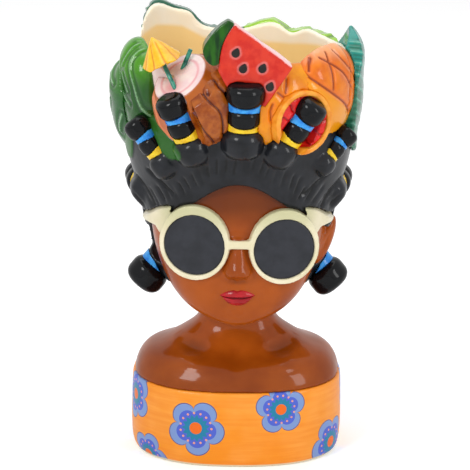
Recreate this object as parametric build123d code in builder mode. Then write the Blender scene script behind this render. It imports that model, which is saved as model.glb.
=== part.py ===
from build123d import *

import math
import os

# A glazed ceramic face vase: a hollow bust with round sunglasses, beaded braids and a fruit headdress that
# stands round the open mouth. Millimetres, +Z up, the face looks along -Y and +X is the viewer's right.
# The origin is the centre of the foot. Azimuths are degrees from the face towards +X.

os.makedirs("parts", exist_ok=True)

# Driving sizes of the hollow body
wall = 5.0
foot_thickness = 6.0
hollow_corner = 7.5
cavity_drop = 3.5
overrun = 20.0
ring_points = 20

bust_half_width = 62.4
bust_half_depth = 48.0
bust_height = 100.0
bust_squareness = 2.35
dress_height = 47.0
dress_lap = 0.8

head_half_width = 53.0
head_front = 49.0
head_back = 52.0
chin_height = 89.0
crown_height = 186.0
head_squareness = 2.3
neck_bore_half_width = 16.5
neck_bore_half_depth = 14.0
neck_bore_bottom = 66.0
neck_bore_top = 112.0

hair_half_width = 67.5
hair_front = 61.0
hair_back = 66.0
nape_height = 100.0
hair_top_height = 214.0
hair_squareness = 2.0
hairline_peak_height = 177.0
temple_height = 143.0
ear_line = 3.0

collar_half_width = 61.0
collar_half_depth = 59.0
collar_top_height = 280.0
collar_squareness = 2.0
rim_height = 230.0
mouth_radius = 44.0

# Face
nose_tip_height = 124.5
nose_half_width = 8.0
nose_rise = 7.0
nose_length = 20.0
nose_squareness = 2.0
lip_height = 107.7
lip_width = 19.0
lip_depth = 9.0
lip_rise = 2.4
ear_height = 129.0
ear_reach = 51.5
ear_half_length = 16.5
ear_half_depth = 9.0
ear_half_thickness = 5.0
ear_slope = 20.0

# Sunglasses
eye_height = 138.2
eye_spacing = 26.4
eye_shift = 0.8
eye_tilt = 1.0
lens_radius = 18.2
frame_half_width = 20.9
frame_half_height = 22.6
frame_lift = 1.4
frame_rise = 4.0
frame_depth = 24.0
frame_wrap = 13.0
lens_recess = 1.2
bridge_height = 141.0
bridge_width = 5.0
arm_thickness = 4.5

# Braid beads and ties, for a braid of width share and length share 1
root_bead_radius = 12.5
root_bead_length = 18.6
middle_bead_radius = 10.0
middle_bead_length = 12.2
tip_bead_radius = 11.2
tip_bead_length = 14.0
bead_corner_share = 0.37
tie_gap = 1.4
root_sink = 1.5
tie_width_share = 0.98
tie_depth_share = 0.84
pigtail_ball_radius = 12.0
pigtail_ball_length = 16.0
pigtail_root_radius = 10.0
pigtail_root_length = 14.0
pigtail_tie_gap = 1.6
pigtail_spread = 44.0
pigtail_setback = 9.0
pigtail_height = 115.9
pigtail_lean = 140.0
side_bead_radius = 9.0
side_tip_radius = 8.2
side_braid_azimuth = 80.0
side_braid_height = 163.0
side_braid_lean = 90.0
side_braid_sink = 4.0
side_tie_gap = 1.4

# Coconut half with its umbrella and straws
coconut_radius = 29.0
coconut_azimuth = -26.6
coconut_reach = 46.6
coconut_height = 224.1
coconut_cut = 21.9
coconut_turn = -50.0
coconut_rise = 46.5
flesh_thickness = 3.0
flesh_ring_radius = 13.5
flesh_ring_depth = 0.8
stick_radius = 1.3
umbrella_radius = 11.9
umbrella_depth = 15.0
umbrella_thickness = 2.5

# Melon slice and seeds
melon_azimuth = 3.0
melon_reach = 67.0
melon_thickness = 13.0
melon_width = 50.0
melon_height = 56.0
melon_bottom_height = 220.5
seed_length = 7.0
seed_width = 4.6
seed_tip_radius = 0.9
seed_rise = 0.8
seed_lean = 24.0

# Round fruit
pineapple_half_width = 29.0
pineapple_half_depth = 15.0
pineapple_half_height = 31.0
pineapple_azimuth = 58.0
pineapple_height = 229.0
pineapple_sink = 3.5
mango_half_width = 31.0
mango_half_depth = 15.0
mango_half_height = 26.0
mango_azimuth = 29.0
mango_height = 223.0
mango_sink = 4.0
grapefruit_radius = 18.8
grapefruit_rind = 3.1
grapefruit_thickness = 16.0
grapefruit_azimuth = 32.0
grapefruit_height = 215.8
grapefruit_rise = 13.4
grapefruit_recess = 1.1

# Leaves
leaf_half_width = 69.5
leaf_half_depth = 66.0
leaf_bottom_height = 184.0
leaf_top_height = 270.0
front_leaf_half_width = 19.0
front_leaf_half_depth = 11.0
front_leaf_half_height = 36.0
front_leaf_azimuth = -73.0
front_leaf_height = 225.0
front_leaf_lean = -12.0
outer_leaf_half_width = 22.0
outer_leaf_half_depth = 18.0
outer_leaf_half_height = 34.5
outer_leaf_azimuth = -90.0
outer_leaf_height = 217.0
right_leaf_azimuth = 92.0
right_leaf_half_width = 27.0
right_leaf_top_height = 259.5
back_left_azimuth = -146.0
back_left_half_width = 42.0
back_left_top_height = 284.0
back_right_azimuth = 152.0
back_right_half_width = 40.0
back_right_top_height = 264.0
back_leaf_show = 1.8

# Heights as shares of bust_height, half widths and half depths as shares of the bust's own
bust_shares = (
    (0.00, 0.955, 0.940),
    (0.02, 0.982, 0.975),
    (0.06, 1.000, 1.000),
    (0.16, 1.008, 1.010),
    (0.32, 1.006, 1.005),
    (0.47, 0.993, 0.975),
    (0.55, 0.958, 0.915),
    (0.612, 0.885, 0.800),
    (0.648, 0.765, 0.665),
    (0.688, 0.625, 0.555),
    (0.740, 0.495, 0.470),
    (0.79, 0.400, 0.415),
    (0.85, 0.355, 0.392),
    (0.92, 0.343, 0.387),
    (1.00, 0.340, 0.385),
)
# Heights as shares of the way from chin to crown, then half width, front, back and middle as shares
head_shares = (
    (0.000, 0.10, 0.900, -0.50, 0.70),
    (0.020, 0.30, 0.960, -0.28, 0.62),
    (0.067, 0.51, 0.995, 0.00, 0.50),
    (0.110, 0.63, 1.005, 0.25, 0.38),
    (0.180, 0.75, 1.010, 0.55, 0.25),
    (0.270, 0.85, 1.010, 0.78, 0.12),
    (0.370, 0.92, 1.005, 0.90, 0.05),
    (0.500, 0.97, 1.000, 0.98, 0.00),
    (0.650, 1.00, 0.985, 1.02, 0.00),
    (0.820, 1.02, 0.965, 1.05, 0.00),
    (1.000, 1.03, 0.950, 1.06, 0.00),
)
# Heights as shares of the way from nape to the top of the hair, then half width, front and back as shares
hair_shares = (
    (0.00, 0.62, 0.50, 0.62),
    (0.12, 0.74, 0.62, 0.78),
    (0.25, 0.80, 0.74, 0.87),
    (0.40, 0.845, 0.82, 0.92),
    (0.53, 0.885, 0.848, 0.95),
    (0.62, 0.925, 0.865, 0.97),
    (0.70, 0.965, 0.905, 0.99),
    (0.79, 0.995, 0.968, 1.00),
    (0.88, 1.000, 1.000, 1.00),
    (0.95, 0.975, 0.990, 0.97),
    (1.00, 0.925, 0.945, 0.93),
)
# Heights as shares of the way from crown to collar top, then half width and half depth as shares
collar_shares = (
    (0.00, 0.90, 0.89),
    (0.25, 0.94, 0.94),
    (0.53, 1.00, 1.00),
    (0.75, 1.04, 1.05),
    (1.00, 1.09, 1.12),
)
# Heights as shares of the way from leaf bottom to leaf top, then half width and half depth as shares
leaf_shares = (
    (0.00, 0.985, 1.00),
    (0.25, 0.990, 1.02),
    (0.45, 1.000, 1.02),
    (0.67, 1.030, 1.05),
    (0.85, 1.010, 1.07),
    (1.00, 0.960, 1.06),
)
right_leaf_shares = (
    (0.00, 0.985, 1.00),
    (0.12, 1.005, 1.01),
    (0.25, 1.030, 1.02),
    (0.38, 1.050, 1.03),
    (0.50, 1.050, 1.03),
    (0.62, 1.055, 1.03),
    (0.72, 1.050, 1.03),
    (0.80, 1.015, 1.02),
    (0.87, 0.950, 1.00),
    (1.00, 0.830, 0.95),
)
# The hairline: places as shares of the hair's half width, heights as shares of the way from temple to peak
hairline_shares = (
    (-1.30, -0.12),
    (-0.86, 0.00),
    (-0.69, 0.20),
    (-0.42, 0.55),
    (-0.20, 0.87),
    (0.00, 1.00),
    (0.20, 0.87),
    (0.42, 0.55),
    (0.69, 0.20),
    (0.86, 0.00),
    (1.30, -0.12),
)
# The rim from left to right: places as shares of the collar's half width, heights as shares of the way from
# rim_height to the collar's top
front_rim_shares = (
    (-1.50, 0.20),
    (-1.00, 0.20),
    (-0.60, 0.18),
    (-0.20, 0.08),
    (0.25, 0.00),
    (0.60, 0.10),
    (0.90, 0.20),
    (1.50, 0.20),
)
back_rim_shares = (
    (-1.50, 0.20),
    (-0.97, 0.26),
    (-0.955, 0.47),
    (-0.92, 0.60),
    (-0.86, 0.68),
    (-0.79, 0.68),
    (-0.70, 0.62),
    (-0.60, 0.57),
    (-0.50, 0.52),
    (-0.43, 0.41),
    (-0.35, 0.34),
    (-0.20, 0.30),
    (0.05, 0.30),
    (0.24, 0.37),
    (0.36, 0.38),
    (0.44, 0.33),
    (0.50, 0.29),
    (0.57, 0.31),
    (0.66, 0.36),
    (0.80, 0.33),
    (0.97, 0.32),
    (1.50, 0.25),
)
# Nose: heights as shares of its length above the tip, half widths and rises as shares of its own
nose_shares = (
    (-0.25, 0.45, 0.30),
    (-0.12, 0.90, 0.80),
    (0.00, 1.00, 1.00),
    (0.15, 0.86, 0.92),
    (0.33, 0.72, 0.75),
    (0.52, 0.62, 0.58),
    (0.75, 0.55, 0.40),
    (1.00, 0.50, 0.25),
)
# Places over the cut face of the coconut, as shares of its radius: across, up the face, and out from it
umbrella_apex_shares = (-1.08, 0.50, 1.04)
stick_foot_shares = (0.03, -0.44, -0.05)
straw_foot_shares = (-0.29, 0.25, -0.05)
straw_top_shares = (-0.14, 0.84, 0.27)
# The melon slice: places as shares of its width from its middle, and of its height from its bottom
melon_skin_shares = (
    (-0.20, 1.00),
    (-0.34, 0.90),
    (-0.43, 0.795),
    (-0.484, 0.69),
    (-0.45, 0.59),
    (-0.36, 0.53),
)
melon_inside_shares = ((-0.13, 0.965), (-0.22, 0.84), (-0.28, 0.70), (-0.30, 0.55))
melon_bite_shares = ((0.53, 0.52), (0.14, 0.00), (-0.03, 0.00), (-0.31, 0.48))
seed_shares = ((-0.118, 0.664), (-0.034, 0.504), (0.184, 0.505), (0.27, 0.316))
# The temple arm in the front view: places as shares of the head's half width, heights above the eye as
# shares of the frame's half height
arm_shares = (
    (0.728, 0.980),
    (0.885, 0.840),
    (1.050, 0.630),
    (1.094, 0.465),
    (1.010, 0.487),
    (0.917, 0.400),
    (0.864, 0.180),
)
# One edge of a leaf: places as shares of its half width, heights as shares of its length
lance_side_shares = ((0.00, 0.00), (0.70, 0.12), (1.00, 0.42), (0.88, 0.70), (0.48, 0.90), (0.00, 1.00))
lobed_side_shares = (
    (0.00, 0.00),
    (0.55, 0.08),
    (0.92, 0.26),
    (0.84, 0.34),
    (1.00, 0.48),
    (0.86, 0.58),
    (0.90, 0.70),
    (0.62, 0.82),
    (0.50, 0.92),
    (0.00, 1.00),
)
# Crown braids: name, azimuth, height as a share of the way from crown to hair top, lean, droop, width share
# and length share
crown_braid_shares = (
    ("centre", 2, 0.67, 2, 12, 0.96, 0.96),
    ("left", -26, 0.43, -17, 18, 0.82, 0.94),
    ("right", 22.5, 0.42, 31, 18, 0.80, 0.96),
    ("far_left", -45, 0.01, -32, 22, 0.68, 0.84),
    ("far_right", 52, 0.01, 42, 22, 0.62, 0.68),
)


def outline(half_width, front, back, middle, squareness):
    """A closed smooth outline in plan: front is its reach towards -Y and back its reach towards +Y."""
    points = []
    for step in range(ring_points):
        turn = 2 * math.pi * step / ring_points
        across, along = math.cos(turn), math.sin(turn)
        x = half_width * math.copysign(abs(across) ** (2 / squareness), across)
        reach = back - middle if along > 0 else front + middle
        y = middle + reach * math.copysign(abs(along) ** (2 / squareness), along)
        points.append((x, y))
    with BuildSketch() as face:
        with BuildLine():
            Spline(*points, periodic=True)
        make_face()
    return face.sketch


def lofted(levels, squareness):
    """A smooth solid through the outline at each level."""
    with BuildPart() as form:
        for height, half_width, front, back, middle in levels:
            with BuildSketch(Plane.XY.offset(height)):
                add(outline(half_width, front, back, middle, squareness))
        loft()
    return form.part


def bust_levels(inset, drop=0):
    """Levels of the bust, drawn in by inset and lowered by drop."""
    levels = []
    for height_share, width_share, depth_share in bust_shares:
        half_depth = depth_share * bust_half_depth - inset
        height = height_share * bust_height - drop
        levels.append((height, width_share * bust_half_width - inset, half_depth, half_depth, 0))
    return levels


def head_levels(inset):
    """Levels of the head, drawn in by inset."""
    levels = []
    for height_share, width_share, front_share, back_share, middle_share in head_shares:
        levels.append(
            (
                chin_height + height_share * (crown_height - chin_height),
                width_share * head_half_width - inset,
                front_share * head_front - inset,
                back_share * head_back - inset,
                -middle_share * head_front,
            )
        )
    return levels


def hair_levels():
    """Levels of the hair."""
    levels = []
    for height_share, width_share, front_share, back_share in hair_shares:
        height = nape_height + height_share * (hair_top_height - nape_height)
        levels.append(
            (height, width_share * hair_half_width, front_share * hair_front, back_share * hair_back, 0)
        )
    return levels


def collar_levels(inset):
    """Levels of the collar, drawn in by inset."""
    levels = []
    for height_share, width_share, depth_share in collar_shares:
        height = crown_height + height_share * (collar_top_height - crown_height)
        half_depth = depth_share * collar_half_depth - inset
        levels.append((height, width_share * collar_half_width - inset, half_depth, half_depth, 0))
    return levels


def leaf_levels(shares):
    """Levels of a surface on which leaves end."""
    levels = []
    for height_share, width_share, depth_share in shares:
        height = leaf_bottom_height + height_share * (leaf_top_height - leaf_bottom_height)
        half_depth = depth_share * leaf_half_depth
        levels.append((height, width_share * leaf_half_width, half_depth, half_depth, 0))
    return levels


def reach(levels, squareness, azimuth, height):
    """Distance from the axis to a form's surface, along an azimuth at a height."""
    for lower, upper in zip(levels, levels[1:]):
        if height <= upper[0]:
            break
    share = (height - lower[0]) / (upper[0] - lower[0])
    half_width, front, back = (low + share * (high - low) for low, high in zip(lower[1:4], upper[1:4]))
    turn = math.radians(azimuth)
    depth = front if math.cos(turn) > 0 else back
    across, along = abs(math.sin(turn)) / half_width, abs(math.cos(turn)) / depth
    return (across**squareness + along**squareness) ** (-1 / squareness)


def spot(azimuth, height, distance):
    """A point at a distance from the axis."""
    turn = math.radians(azimuth)
    return Vector(math.sin(turn) * distance, -math.cos(turn) * distance, height)


def facing(origin, azimuth, rise=0, lean=0):
    """A plane that looks out along an azimuth. Rise looks up, lean turns its upright towards the right."""
    turn, up, side = math.radians(azimuth), math.radians(rise), math.radians(lean)
    out = Vector(math.sin(turn), -math.cos(turn), 0)
    across = Vector(math.cos(turn), math.sin(turn), 0)
    normal = out * math.cos(up) + Vector(0, 0, math.sin(up))
    upright = Vector(0, 0, math.cos(up)) - out * math.sin(up)
    return Plane(origin=origin, x_dir=across * math.cos(side) - upright * math.sin(side), z_dir=normal)


def climbed(plane, distance):
    """The same plane moved along its own upright."""
    return Plane(origin=plane.origin + plane.y_dir * distance, x_dir=plane.x_dir, z_dir=plane.z_dir)


def ellipsoid(plane, half_x, half_y, half_z):
    """An ellipsoid about the origin of a plane, along its directions."""
    with BuildPart() as blob:
        Sphere(half_x)
        scale(by=(1, half_y / half_x, half_z / half_x))
    return plane.location * blob.part


def bead(plane, radius, length):
    """A rounded bead about the upright of a plane."""
    with BuildPart() as pearl:
        with BuildSketch(plane):
            RectangleRounded(2 * radius, length, bead_corner_share * min(length, 2 * radius))
            Rectangle(radius, length, align=(Align.MAX, Align.CENTER), mode=Mode.SUBTRACT)
        revolve(axis=Axis(plane.origin, plane.y_dir))
    return pearl.part


def tie(plane, radius, length):
    """An oval drum about the upright of a plane, to be cut hollow by the beads on each side of it."""
    with BuildPart() as drum:
        with BuildSketch(Plane(origin=plane.origin, x_dir=plane.x_dir, z_dir=plane.y_dir)):
            Ellipse(tie_width_share * radius, tie_depth_share * radius)
        extrude(amount=length / 2, both=True)
    return drum.part


def cut(piece, *cutters):
    """The piece without what the cutters take."""
    with BuildPart() as rest:
        add(piece)
        for cutter in cutters:
            add(cutter, mode=Mode.SUBTRACT)
    return rest.part


def fused(*pieces):
    """One solid of several that meet."""
    with BuildPart() as whole:
        for piece in pieces:
            add(piece)
    return whole.part


def strand(plane, beads, gaps, width_share, length_share):
    """The beads of a braid from its root along the plane's upright, and the tie in each gap."""
    solids = {}
    height = 0
    for place, (name, radius, length) in enumerate(beads):
        if place > 0:
            below_name, below_radius, below_length = beads[place - 1]
            tie_name, gap = gaps[place - 1]
            rise = length_share * ((below_length + length) / 2 + gap)
            if tie_name:
                drum = tie(
                    climbed(plane, height + rise / 2), width_share * min(below_radius, radius), rise
                )
            height += rise
        solids[name] = bead(climbed(plane, height), width_share * radius, length_share * length)
        if place > 0 and tie_name:
            solids[tie_name] = cut(drum, solids[below_name], solids[name])
    return solids


def rim_line(rim_shares, rise=0):
    """Points of the rim in the front view, raised by rise."""
    return [
        (x_share * collar_half_width, rim_height + rise + y_share * (collar_top_height - rim_height))
        for x_share, y_share in rim_shares
    ]


def save(piece, name):
    """Labels a finished piece and writes it as its own file."""
    piece.label = name
    export_step(piece, f"parts/{name}.step")


def beyond_line(points, far, start, depth):
    """A slab in the front view between a smooth line and a far height, deep from start towards -Y."""
    with BuildPart() as slab:
        with BuildSketch(Plane.XZ.offset(-start)):
            with BuildLine():
                line = Spline(*points)
                Polyline(line @ 0, (points[0][0], far), (points[-1][0], far), line @ 1)
            make_face()
        extrude(amount=depth)
    return slab.part


# Outer forms of the hollow body, before they are hollowed and parted
bust_form = lofted(bust_levels(0), bust_squareness)
head_form = lofted(head_levels(0), head_squareness)
hair_form = lofted(hair_levels(), hair_squareness)
collar_form = lofted(collar_levels(0), collar_squareness)
leaf_form = lofted(leaf_levels(leaf_shares), collar_squareness)
right_leaf_form = lofted(leaf_levels(right_leaf_shares), collar_squareness)

# The hollow: bust, neck bore, head and collar
cavity_top = neck_bore_bottom + wall
cavity_levels = [
    level for level in bust_levels(wall, cavity_drop) if foot_thickness < level[0] < cavity_top
]
foot_width = bust_half_width - hollow_corner
foot_depth = bust_half_depth - hollow_corner
foot_level = (foot_thickness, foot_width, foot_depth, foot_depth, 0)
bust_hollow = lofted([foot_level] + cavity_levels, bust_squareness)
with BuildPart() as neck_bore:
    with BuildSketch(Plane.XY.offset(neck_bore_bottom)):
        Ellipse(neck_bore_half_width, neck_bore_half_depth)
    extrude(amount=neck_bore_top - neck_bore_bottom)
head_hollow = lofted(
    [level for level in head_levels(wall) if level[0] > chin_height + hollow_corner], head_squareness
)
collar_hollow = lofted(collar_levels(wall), collar_squareness)
hollow = fused(bust_hollow, neck_bore.part, head_hollow, collar_hollow)

# Braids: crown, side and pigtails. The roots belong to the hair, the rest are pieces of their own
crown_beads = (
    ("root", root_bead_radius, root_bead_length),
    ("middle_bead", middle_bead_radius, middle_bead_length),
    ("tip_bead", tip_bead_radius, tip_bead_length),
)
side_beads = (
    ("root", side_bead_radius, root_bead_length),
    ("middle_bead", side_bead_radius, middle_bead_length),
    ("tip_bead", side_tip_radius, middle_bead_length),
)
pigtail_beads = (
    ("root", pigtail_root_radius, pigtail_root_length),
    ("ball", pigtail_ball_radius, pigtail_ball_length),
)
strands = {}
for name, azimuth, height_share, lean, droop, width_share, length_share in crown_braid_shares:
    height = crown_height + height_share * (hair_top_height - crown_height)
    distance = reach(hair_levels(), hair_squareness, azimuth, height) - root_sink
    root_plane = facing(spot(azimuth, height, distance), azimuth, -droop, lean)
    gaps = (("yellow_tie", tie_gap), ("blue_tie", tie_gap))
    strands[f"{name}_braid"] = strand(root_plane, crown_beads, gaps, width_share, length_share)
crown_roots = [beads["root"] for beads in strands.values()]
for name, side in (("left", -1), ("right", 1)):
    azimuth = side * side_braid_azimuth
    distance = reach(hair_levels(), hair_squareness, azimuth, side_braid_height) - side_braid_sink
    root_plane = facing(spot(azimuth, side_braid_height, distance), azimuth, 0, side * side_braid_lean)
    gaps = (("yellow_tie", side_tie_gap), (None, 0))
    strands[f"{name}_side_braid"] = strand(root_plane, side_beads, gaps, 1, 1)
    root_point = Vector(side * pigtail_spread, pigtail_setback, pigtail_height)
    root_plane = facing(root_point, 0, 0, side * pigtail_lean)
    strands[f"{name}_pigtail"] = strand(root_plane, pigtail_beads, (("blue_tie", pigtail_tie_gap),), 1, 1)
low_roots = [beads["root"] for beads in strands.values()][len(crown_roots) :]
masses = {name: fused(*beads.values()) for name, beads in strands.items()}

# Body, from the foot up
with BuildPart() as dress_base:
    add(lofted(bust_levels(-dress_lap), bust_squareness))
    split(bisect_by=Plane.XY.offset(dress_height), keep=Keep.BOTTOM)
    add(hollow, mode=Mode.SUBTRACT)
save(dress_base.part, "dress_base")

with BuildPart() as shoulders:
    add(bust_form)
    split(bisect_by=Plane.XY.offset(dress_height), keep=Keep.TOP)
    add(head_form, mode=Mode.SUBTRACT)
    add(hollow, mode=Mode.SUBTRACT)
save(shoulders.part, "shoulders")

nose_levels = []
for height_share, width_share, rise_share in nose_shares:
    height = nose_tip_height + height_share * nose_length
    surface = reach(head_levels(0), head_squareness, 0, height)
    front = surface + rise_share * nose_rise
    back = wall - surface
    nose_levels.append((height, width_share * nose_half_width, front, back, -(front - back) / 2))
ears = [
    ellipsoid(
        facing(Vector(side * ear_reach, 0, ear_height), 0, 0, side * ear_slope),
        ear_half_thickness,
        ear_half_length,
        ear_half_depth,
    )
    for side in (-1, 1)
]
nose_form = lofted(nose_levels, nose_squareness)
with BuildPart() as head:
    add(head_form)
    add(nose_form)
    add(ears)
    add(hollow, mode=Mode.SUBTRACT)
save(head.part, "head")

# Sunglasses and lips, seated on the face. The arms lie on the sides of the head
rims = []
for name, side in (("left", -1), ("right", 1)):
    turn = side * math.degrees(math.atan2(eye_spacing, head_front))
    face_depth = reach(head_levels(0), head_squareness, turn, eye_height) * math.cos(math.radians(turn))
    eye_point = Vector(side * eye_spacing + eye_shift, -face_depth - frame_rise, eye_height - side * eye_tilt)
    eye_plane = facing(eye_point, side * frame_wrap)
    with BuildPart() as lens_column:
        with BuildSketch(eye_plane):
            Circle(lens_radius)
        extrude(amount=-frame_depth)
    with BuildPart() as rim:
        with BuildSketch(eye_plane):
            with Locations((0, frame_lift)):
                Ellipse(frame_half_width, frame_half_height)
        extrude(amount=-frame_depth)
        add(lens_column.part, mode=Mode.SUBTRACT)
    with BuildPart() as lens:
        add(lens_column.part)
        split(bisect_by=eye_plane.offset(-lens_recess), keep=Keep.BOTTOM)
        add(head_form, mode=Mode.SUBTRACT)
    save(lens.part, f"{name}_lens")
    rims.append(rim.part)
with BuildPart() as arms:
    for side in (-1, 1):
        with BuildSketch(Plane.XZ):
            Polygon(
                *[
                    (side * x_share * head_half_width, eye_height + y_share * frame_half_height)
                    for x_share, y_share in arm_shares
                ],
                align=None,
            )
    extrude(amount=head_front + overrun)
    add(lofted(head_levels(-arm_thickness), head_squareness), mode=Mode.INTERSECT)
bridge_front = -eye_plane.from_local_coords(Vector(-side * frame_half_width, 0, 0)).Y
with BuildPart() as frame_form:
    add(rims)
    add(arms.part)
    with BuildSketch(Plane.XY.offset(bridge_height - bridge_width / 2)):
        with Locations((eye_shift, -bridge_front)):
            Rectangle(2 * (eye_spacing - lens_radius), frame_depth, align=(Align.CENTER, Align.MIN))
    extrude(amount=bridge_width)
save(cut(frame_form.part, head_form, nose_form, *ears), "sunglasses_frame")

lip_front = reach(head_levels(0), head_squareness, 0, lip_height)
lips = cut(
    ellipsoid(facing(spot(0, lip_height, lip_front), 0), lip_width / 2, lip_depth / 2, lip_rise),
    head_form,
)
save(lips, "lips")

hairline = [
    (x_share * hair_half_width, temple_height + y_share * (hairline_peak_height - temple_height))
    for x_share, y_share in hairline_shares
]
with BuildPart() as hair:
    add(hair_form)
    add(crown_roots)
    add(beyond_line(hairline, chin_height - overrun, ear_line, hair_front + overrun), mode=Mode.SUBTRACT)
    add(low_roots)
    for cutter in (bust_form, head_form, *ears, frame_form.part, collar_form):
        add(cutter, mode=Mode.SUBTRACT)
save(hair.part, "hair")

rim_top = collar_top_height + overrun
rim_depth = collar_half_depth + overrun
with BuildPart() as planter_wall:
    add(collar_form)
    add(hollow, mode=Mode.SUBTRACT)
    add(beyond_line(rim_line(front_rim_shares), rim_top, 0, rim_depth), mode=Mode.SUBTRACT)
    add(beyond_line(rim_line(back_rim_shares), rim_top, rim_depth, rim_depth), mode=Mode.SUBTRACT)
save(planter_wall.part, "planter_wall")

for name, beads in strands.items():
    for bead_name, solid in beads.items():
        if bead_name != "root":
            save(cut(solid, hair_form, collar_form), f"{name}_{bead_name}")


def on_flesh(shares):
    """A point over the cut face of the coconut, in shares of the face's radius."""
    return cut_plane.from_local_coords(Vector(*shares) * flesh_radius)


def rod(start, end, radius):
    """A straight round rod between two points."""
    with BuildPart() as bar:
        with BuildSketch(Plane(origin=start, z_dir=end - start)):
            Circle(radius)
        extrude(amount=(end - start).length)
    return bar.part


def melon_points(shares):
    """Points of the melon slice on its front face."""
    return [(x_share * melon_width, y_share * melon_height) for x_share, y_share in shares]


def round_fruit(azimuth, height, sink, half_width, half_height, half_depth):
    """An ellipsoid that bulges from the wall."""
    distance = reach(collar_levels(0), collar_squareness, azimuth, height) - sink
    return ellipsoid(facing(spot(azimuth, height, distance), azimuth), half_width, half_height, half_depth)


def puffed_leaf(azimuth, height, lean, half_width, half_height, half_depth):
    """A full, rounded leaf that bulges from the wall."""
    distance = reach(collar_levels(0), collar_squareness, azimuth, height)
    leaf_plane = facing(spot(azimuth, height, distance), azimuth, 0, lean)
    return ellipsoid(leaf_plane, half_width, half_height, half_depth)


def leaf_blade(azimuth, top, half_width, side_shares):
    """The outline of a leaf, drawn out from the axis."""
    length = top - leaf_bottom_height
    side = [(x_share * half_width, y_share * length) for x_share, y_share in side_shares]
    with BuildPart() as blade:
        with BuildSketch(facing(spot(azimuth, leaf_bottom_height, 0), azimuth)):
            with BuildLine():
                Spline(*side)
                Spline(*[(-x, y) for x, y in side])
            make_face()
        extrude(amount=leaf_half_width + overrun)
    return blade.part


def flat_leaf(blade, form):
    """A leaf laid round the wall, out to a form."""
    with BuildPart() as leaf:
        add(blade)
        add(form, mode=Mode.INTERSECT)
    return leaf.part


# Whole forms of the fruit and leaves, before they give way to the wall and to each other
coconut_plane = facing(spot(coconut_azimuth, coconut_height, coconut_reach), coconut_turn, coconut_rise)
cut_plane = coconut_plane.offset(coconut_cut)
flesh_radius = math.sqrt(coconut_radius**2 - coconut_cut**2)
with BuildPart() as coconut_form:
    add(coconut_plane.location * Sphere(coconut_radius, mode=Mode.PRIVATE))
    split(bisect_by=cut_plane, keep=Keep.BOTTOM)
apex = on_flesh(umbrella_apex_shares)
stick_foot = on_flesh(stick_foot_shares)
umbrella_axis = Plane(origin=apex, z_dir=stick_foot - apex)
with BuildPart() as umbrella:
    with BuildSketch(Plane(origin=apex, x_dir=umbrella_axis.x_dir, z_dir=-umbrella_axis.y_dir)):
        with BuildLine():
            Polyline(
                (0, 0),
                (umbrella_radius, umbrella_depth),
                (umbrella_radius - umbrella_thickness, umbrella_depth),
                (0, umbrella_thickness),
                close=True,
            )
        make_face()
    revolve(axis=Axis(apex, umbrella_axis.z_dir))
umbrella_stick = rod(stick_foot, apex + umbrella_axis.z_dir * umbrella_thickness, stick_radius)
drinking_straw = rod(on_flesh(straw_foot_shares), on_flesh(straw_top_shares), stick_radius)

melon_plane = facing(spot(melon_azimuth, melon_bottom_height, melon_reach), melon_azimuth)
with BuildPart() as rind_form:
    with BuildSketch(melon_plane):
        with BuildLine():
            skin = Spline(*melon_points(melon_skin_shares))
            inside = Spline(*melon_points(melon_inside_shares))
            Line(skin @ 0, inside @ 0)
            Line(skin @ 1, inside @ 1)
        make_face()
    extrude(amount=-melon_thickness)
with BuildPart() as flesh_form:
    with BuildSketch(melon_plane):
        with BuildLine():
            inside = Spline(*melon_points(melon_inside_shares))
            Polyline(inside @ 0, *melon_points(melon_bite_shares), inside @ 1)
        make_face()
    extrude(amount=-melon_thickness)
with BuildPart() as melon_seeds:
    for x_share, y_share in seed_shares:
        seed_place = Vector(x_share * melon_width, y_share * melon_height, seed_rise)
        with BuildSketch(facing(melon_plane.from_local_coords(seed_place), melon_azimuth, 0, seed_lean)):
            Circle(seed_width / 2)
            with Locations((0, seed_length - seed_width)):
                Circle(seed_tip_radius)
            make_hull()
        extrude(amount=-2 * seed_rise)

grapefruit_distance = reach(collar_levels(0), collar_squareness, grapefruit_azimuth, grapefruit_height)
grapefruit_plane = facing(
    spot(grapefruit_azimuth, grapefruit_height, grapefruit_distance + grapefruit_rise), grapefruit_azimuth
)
with BuildPart() as grapefruit_form:
    with BuildSketch(grapefruit_plane):
        Circle(grapefruit_radius)
    extrude(amount=-grapefruit_thickness)
with BuildPart() as grapefruit_core:
    with BuildSketch(grapefruit_plane):
        Circle(grapefruit_radius - grapefruit_rind)
    extrude(amount=-grapefruit_thickness)

mango_form = round_fruit(
    mango_azimuth, mango_height, mango_sink, mango_half_width, mango_half_height, mango_half_depth
)
pineapple_form = round_fruit(
    pineapple_azimuth,
    pineapple_height,
    pineapple_sink,
    pineapple_half_width,
    pineapple_half_height,
    pineapple_half_depth,
)
front_leaf_form = puffed_leaf(
    front_leaf_azimuth,
    front_leaf_height,
    front_leaf_lean,
    front_leaf_half_width,
    front_leaf_half_height,
    front_leaf_half_depth,
)
outer_leaf_form = puffed_leaf(
    outer_leaf_azimuth,
    outer_leaf_height,
    0,
    outer_leaf_half_width,
    outer_leaf_half_height,
    outer_leaf_half_depth,
)
right_blade = leaf_blade(
    right_leaf_azimuth, right_leaf_top_height, right_leaf_half_width, lance_side_shares
)
back_left_blade = leaf_blade(
    back_left_azimuth, back_left_top_height, back_left_half_width, lobed_side_shares
)
back_right_blade = leaf_blade(
    back_right_azimuth, back_right_top_height, back_right_half_width, lobed_side_shares
)

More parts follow.
